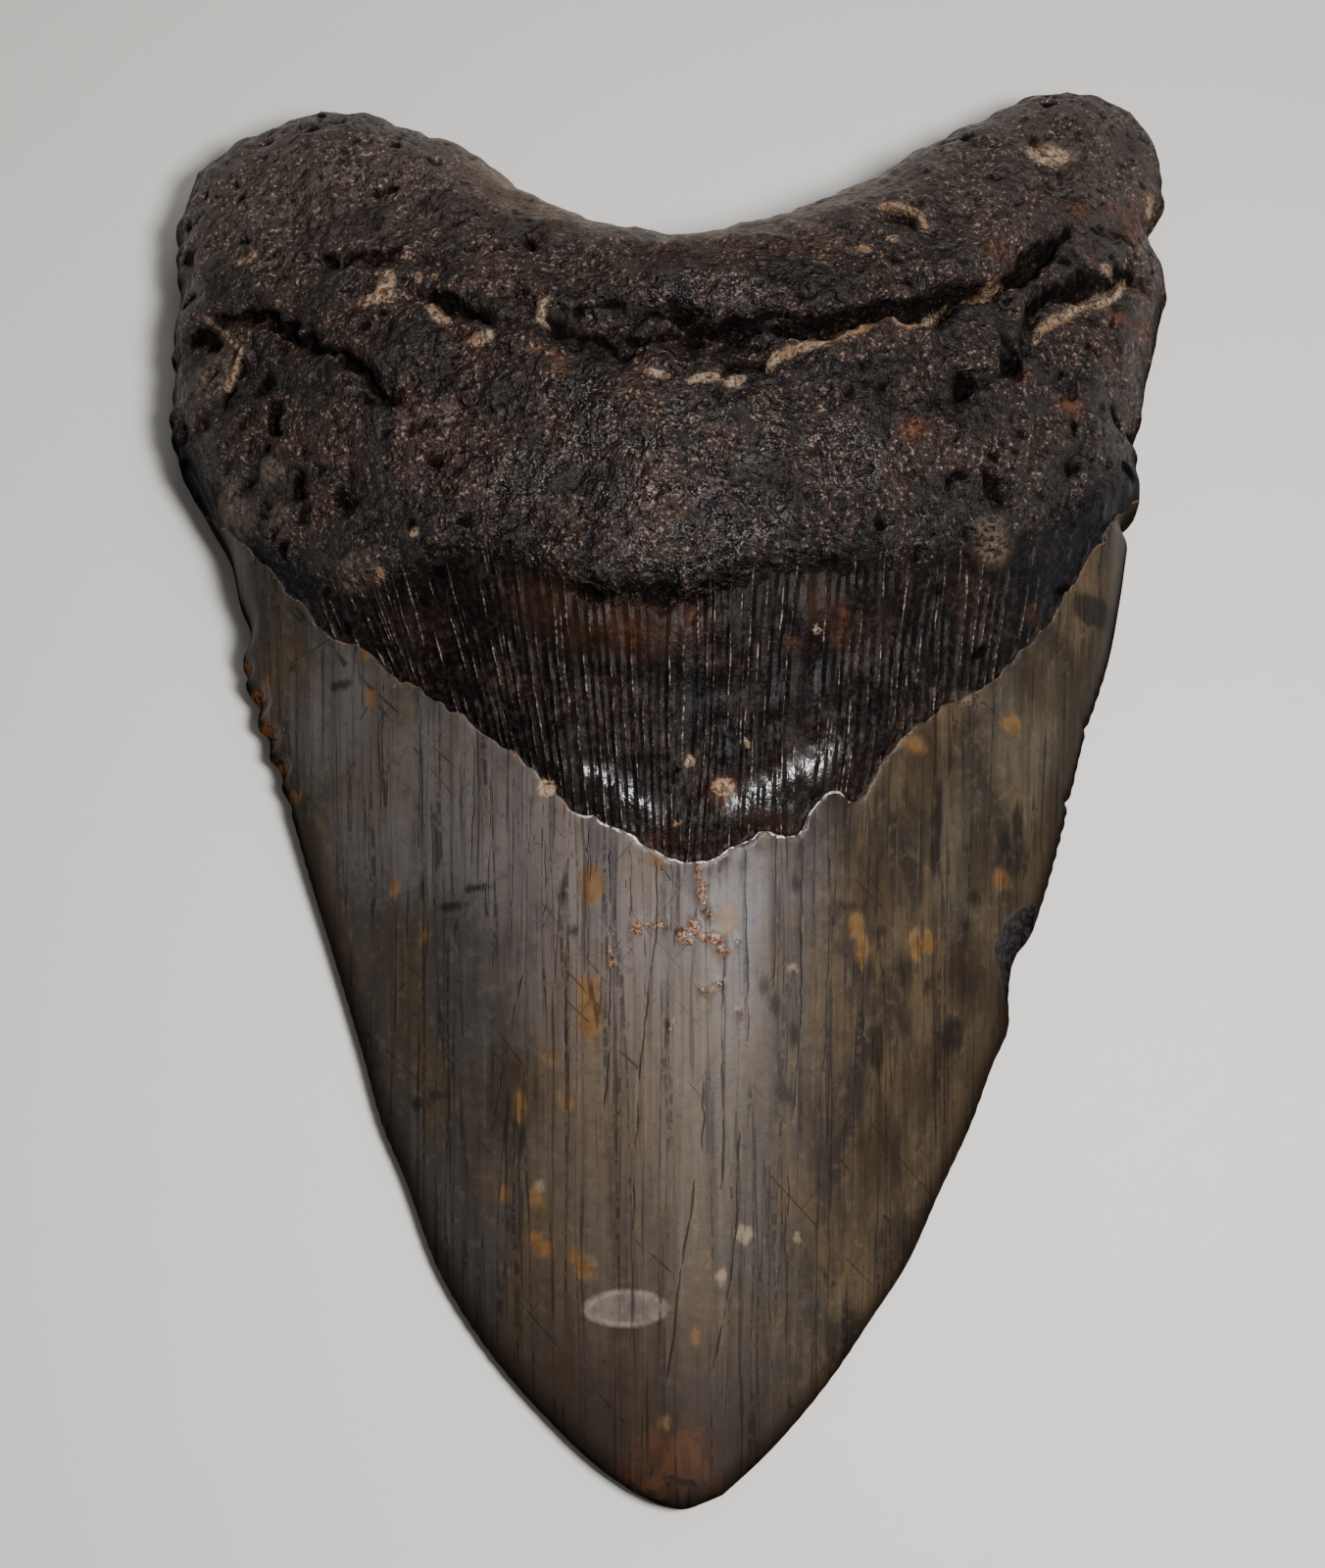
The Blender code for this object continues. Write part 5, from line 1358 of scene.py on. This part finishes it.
def fossil_colour(n):
    """The root, bourlette and crown, with the brown, pale, red and bare patches that lie across them."""
    pale_colour = n.mix(n.step(n.ragged, 0.4, 0.6), (44, 35, 30), (112, 94, 80))
    red_colour = n.mix(n.step(n.ragged, 0.4, 0.6), (42, 23, 14), (104, 60, 36))
    bare_colour = n.layers(
        n.mix(n.step(n.ragged, 0.36, 0.6), (96, 74, 55), (156, 134, 112)),
        (n.step(n.mottle, 0.5, 0.6, 0.0, 0.5), (124, 84, 50)),
    )
    brown_share = n.times(n.mark("brown", 2.5, 1.2), n.step(n.coarse, 0.3, 0.6, 0.2, 0.6), n.not_crown)
    return n.layers(
        n.mix(n.root, band_colour(n), root_colour(n)),
        (brown_share, (46, 27, 16)),
        (n.crown, crown_colour(n)),
        (n.times(n.mark("pale", 1.8, 0.7), 0.6), pale_colour),
        (n.times(n.mark("red", 2.0, 0.7), n.blend(n.root, 0.35, 0.65)), red_colour),
        # Bare bone shows less deep in the hollows, under their painted shade.
        (n.times(n.tan, n.less(n.times(n.hollow, 0.4))), bare_colour),
    )


def fossil_roughness(n):
    """Glossy bourlette, satin root and enamel, matt breaks and hollows."""
    gloss = n.step(n.broad_streak, 0.3, 0.7, 0.4, 0.55)
    for share, rougher in [
        (n.root, n.step(n.coarse, 0.3, 0.7, 0.34, 0.55)),
        (n.polished, 0.25),
        (n.crown, n.step(n.broad_streak, 0.3, 0.7, 0.38, 0.5)),
        (n.tan, 0.75),
        (n.times(n.flake, n.crown), 0.3),
        (n.times(n.rim, n.crown), 0.3),
        (n.times(n.hollow, n.not_crown, 0.8), 0.9),
        (n.times(n.chip, n.crown), 0.6),
    ]:
        gloss = n.blend(share, gloss, rougher)
    return gloss


def fossil_shine(n):
    """How strongly the surface reflects: less in the hollows, which deepens their painted shade, and less
    towards the rim, so that its rounding shows no grazing reflection.
    """
    shine = n.blend(n.polished, n.blend(n.root, 0.09, 0.32), 0.6)
    shine = n.blend(n.crown, shine, 0.2)
    open_places = n.less(n.times(n.hollow, n.not_crown, 0.85))
    return n.times(shine, open_places, n.step(n.inside, 0.3, 2.2))


def fossil_grain(n):
    """The finest relief, in millimetres: grains, pores, ridges, and the enamel's streaks and cracks."""
    root_grain = n.times(n.grain, n.blend(n.polished, 0.12, 0.4))
    root = n.plus(root_grain, n.times(n.ragged, 0.45), n.times(n.coarse, 0.7), n.times(n.pore, -0.08))
    band = n.plus(
        n.times(n.streak, 0.05), n.times(n.grain, 0.05), n.times(n.coarse, 0.12), n.times(n.ribs, 0.06),
        n.times(n.ridges, n.step(n.coarse, 0.35, 0.65, -0.08, -0.2)),
    )
    crown = n.plus(
        n.times(n.streak, 0.012), n.times(n.broad_streak, 0.02), n.times(n.grain, 0.008),
        n.times(n.placed_cracks, -0.03), n.times(n.flake, n.grain, 0.06),
    )
    return n.plus(n.blend(n.crown, n.blend(n.root, band, root), crown), n.times(n.tan, n.grain, 0.04))


def fossil_material():
    """Granular root, glossy ribbed bourlette and satin enamel, with the stains and breaks of the fossil."""
    material = bpy.data.materials.new("fossil")
    n = FossilNodes(material)
    n.put(n.shader.inputs["Base Color"], fossil_colour(n))
    n.put(n.shader.inputs["Roughness"], fossil_roughness(n))
    n.put(n.shader.inputs["Specular IOR Level"], fossil_shine(n))
    bump = n.add("Bump")
    n.put(bump.inputs["Strength"], 1.0)
    n.put(bump.inputs["Distance"], MM)
    n.put(bump.inputs["Height"], fossil_grain(n))
    n.put(n.shader.inputs["Normal"], bump.outputs[0])
    return material


def plain_material(name, base, roughness):
    """A matt colour with a faint even grain."""
    material = bpy.data.materials.new(name)
    n = Nodes(material)
    grain = n.noise(n.place, 3.0, 4.0, 0.6)
    n.put(n.shader.inputs["Base Color"], n.mix(grain, linear(base, 0.97), base))
    n.put(n.shader.inputs["Roughness"], roughness)
    return material


def add_floor():
    """A plain pale floor under the tooth."""
    corners = [(x * FLOOR_HALF, y * FLOOR_HALF, 0) for x, y in [(-1, -1), (1, -1), (1, 1), (-1, 1)]]
    mesh = bpy.data.meshes.new("floor")
    mesh.from_pydata(corners, [], [(0, 1, 2, 3)])
    floor = bpy.data.objects.new("floor", mesh)
    floor.data.materials.append(plain_material("pale_floor", (228, 224, 218), 0.8))
    bpy.context.scene.collection.objects.link(floor)


def add_light(name, place, target, size, watts):
    """A square soft light that faces a point. Places are in millimetres."""
    data = bpy.data.lights.new(name, "AREA")
    data.shape = "SQUARE"
    data.size = size * MM
    data.energy = watts
    lamp = bpy.data.objects.new(name, data)
    lamp.location = Vector(place) * MM
    lamp.rotation_euler = (Vector(target) - Vector(place)).to_track_quat("-Z", "Y").to_euler()
    bpy.context.scene.collection.objects.link(lamp)


def camera_place():
    """Where the camera stands, in millimetres: 15 degrees from straight above, towards the tip."""
    x = CAMERA_TARGET[0] - MIDDLE[0]
    y = CAMERA_TARGET[1] - MIDDLE[1] - CAMERA_DISTANCE * np.sin(CAMERA_TILT)
    z = CAMERA_TARGET[2] + CAMERA_DISTANCE * np.cos(CAMERA_TILT)
    return x, y, z


def add_camera():
    """The camera of the photograph."""
    data = bpy.data.cameras.new("camera")
    data.lens = LENS
    data.sensor_width = SENSOR
    data.clip_start = CLIP_START
    camera = bpy.data.objects.new("camera", data)
    camera.location = Vector(camera_place()) * MM
    camera.rotation_euler = (CAMERA_TILT, 0.0, 0.0)
    bpy.context.scene.collection.objects.link(camera)
    bpy.context.scene.camera = camera


def add_tooth():
    """The fossil itself, in place of the CAD solid."""
    mesh = refined(thinned(dense_mesh(), TRIANGLES))
    mesh.name = "fossil_tooth"
    mark_zones(mesh)
    mesh.materials.clear()
    mesh.materials.append(fossil_material())
    tooth = bpy.data.objects.new("fossil_tooth", mesh)
    bpy.context.scene.collection.objects.link(tooth)
    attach(tooth, "root")
    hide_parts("tooth")


def add_world():
    """Even pale light from all around."""
    world = bpy.data.worlds.new("studio")
    world.use_nodes = True
    background = world.node_tree.nodes["Background"]
    background.inputs["Color"].default_value = (1.0, 1.0, 1.0, 1.0)
    background.inputs["Strength"].default_value = WORLD_STRENGTH
    bpy.context.scene.world = world


def add_lights():
    """A small key light beside the camera and a wide fill light from above the root."""
    eye = Vector(camera_place())
    add_light("key", eye + Vector(KEY_FROM_CAMERA), (0.0, 0.0, 12.0), 40.0, 0.64)
    add_light("fill", (120.0, 120.0, 380.0), (0.0, 0.0, 10.0), 260.0, 0.38)


add_tooth()
add_floor()
add_world()
add_lights()
add_camera()
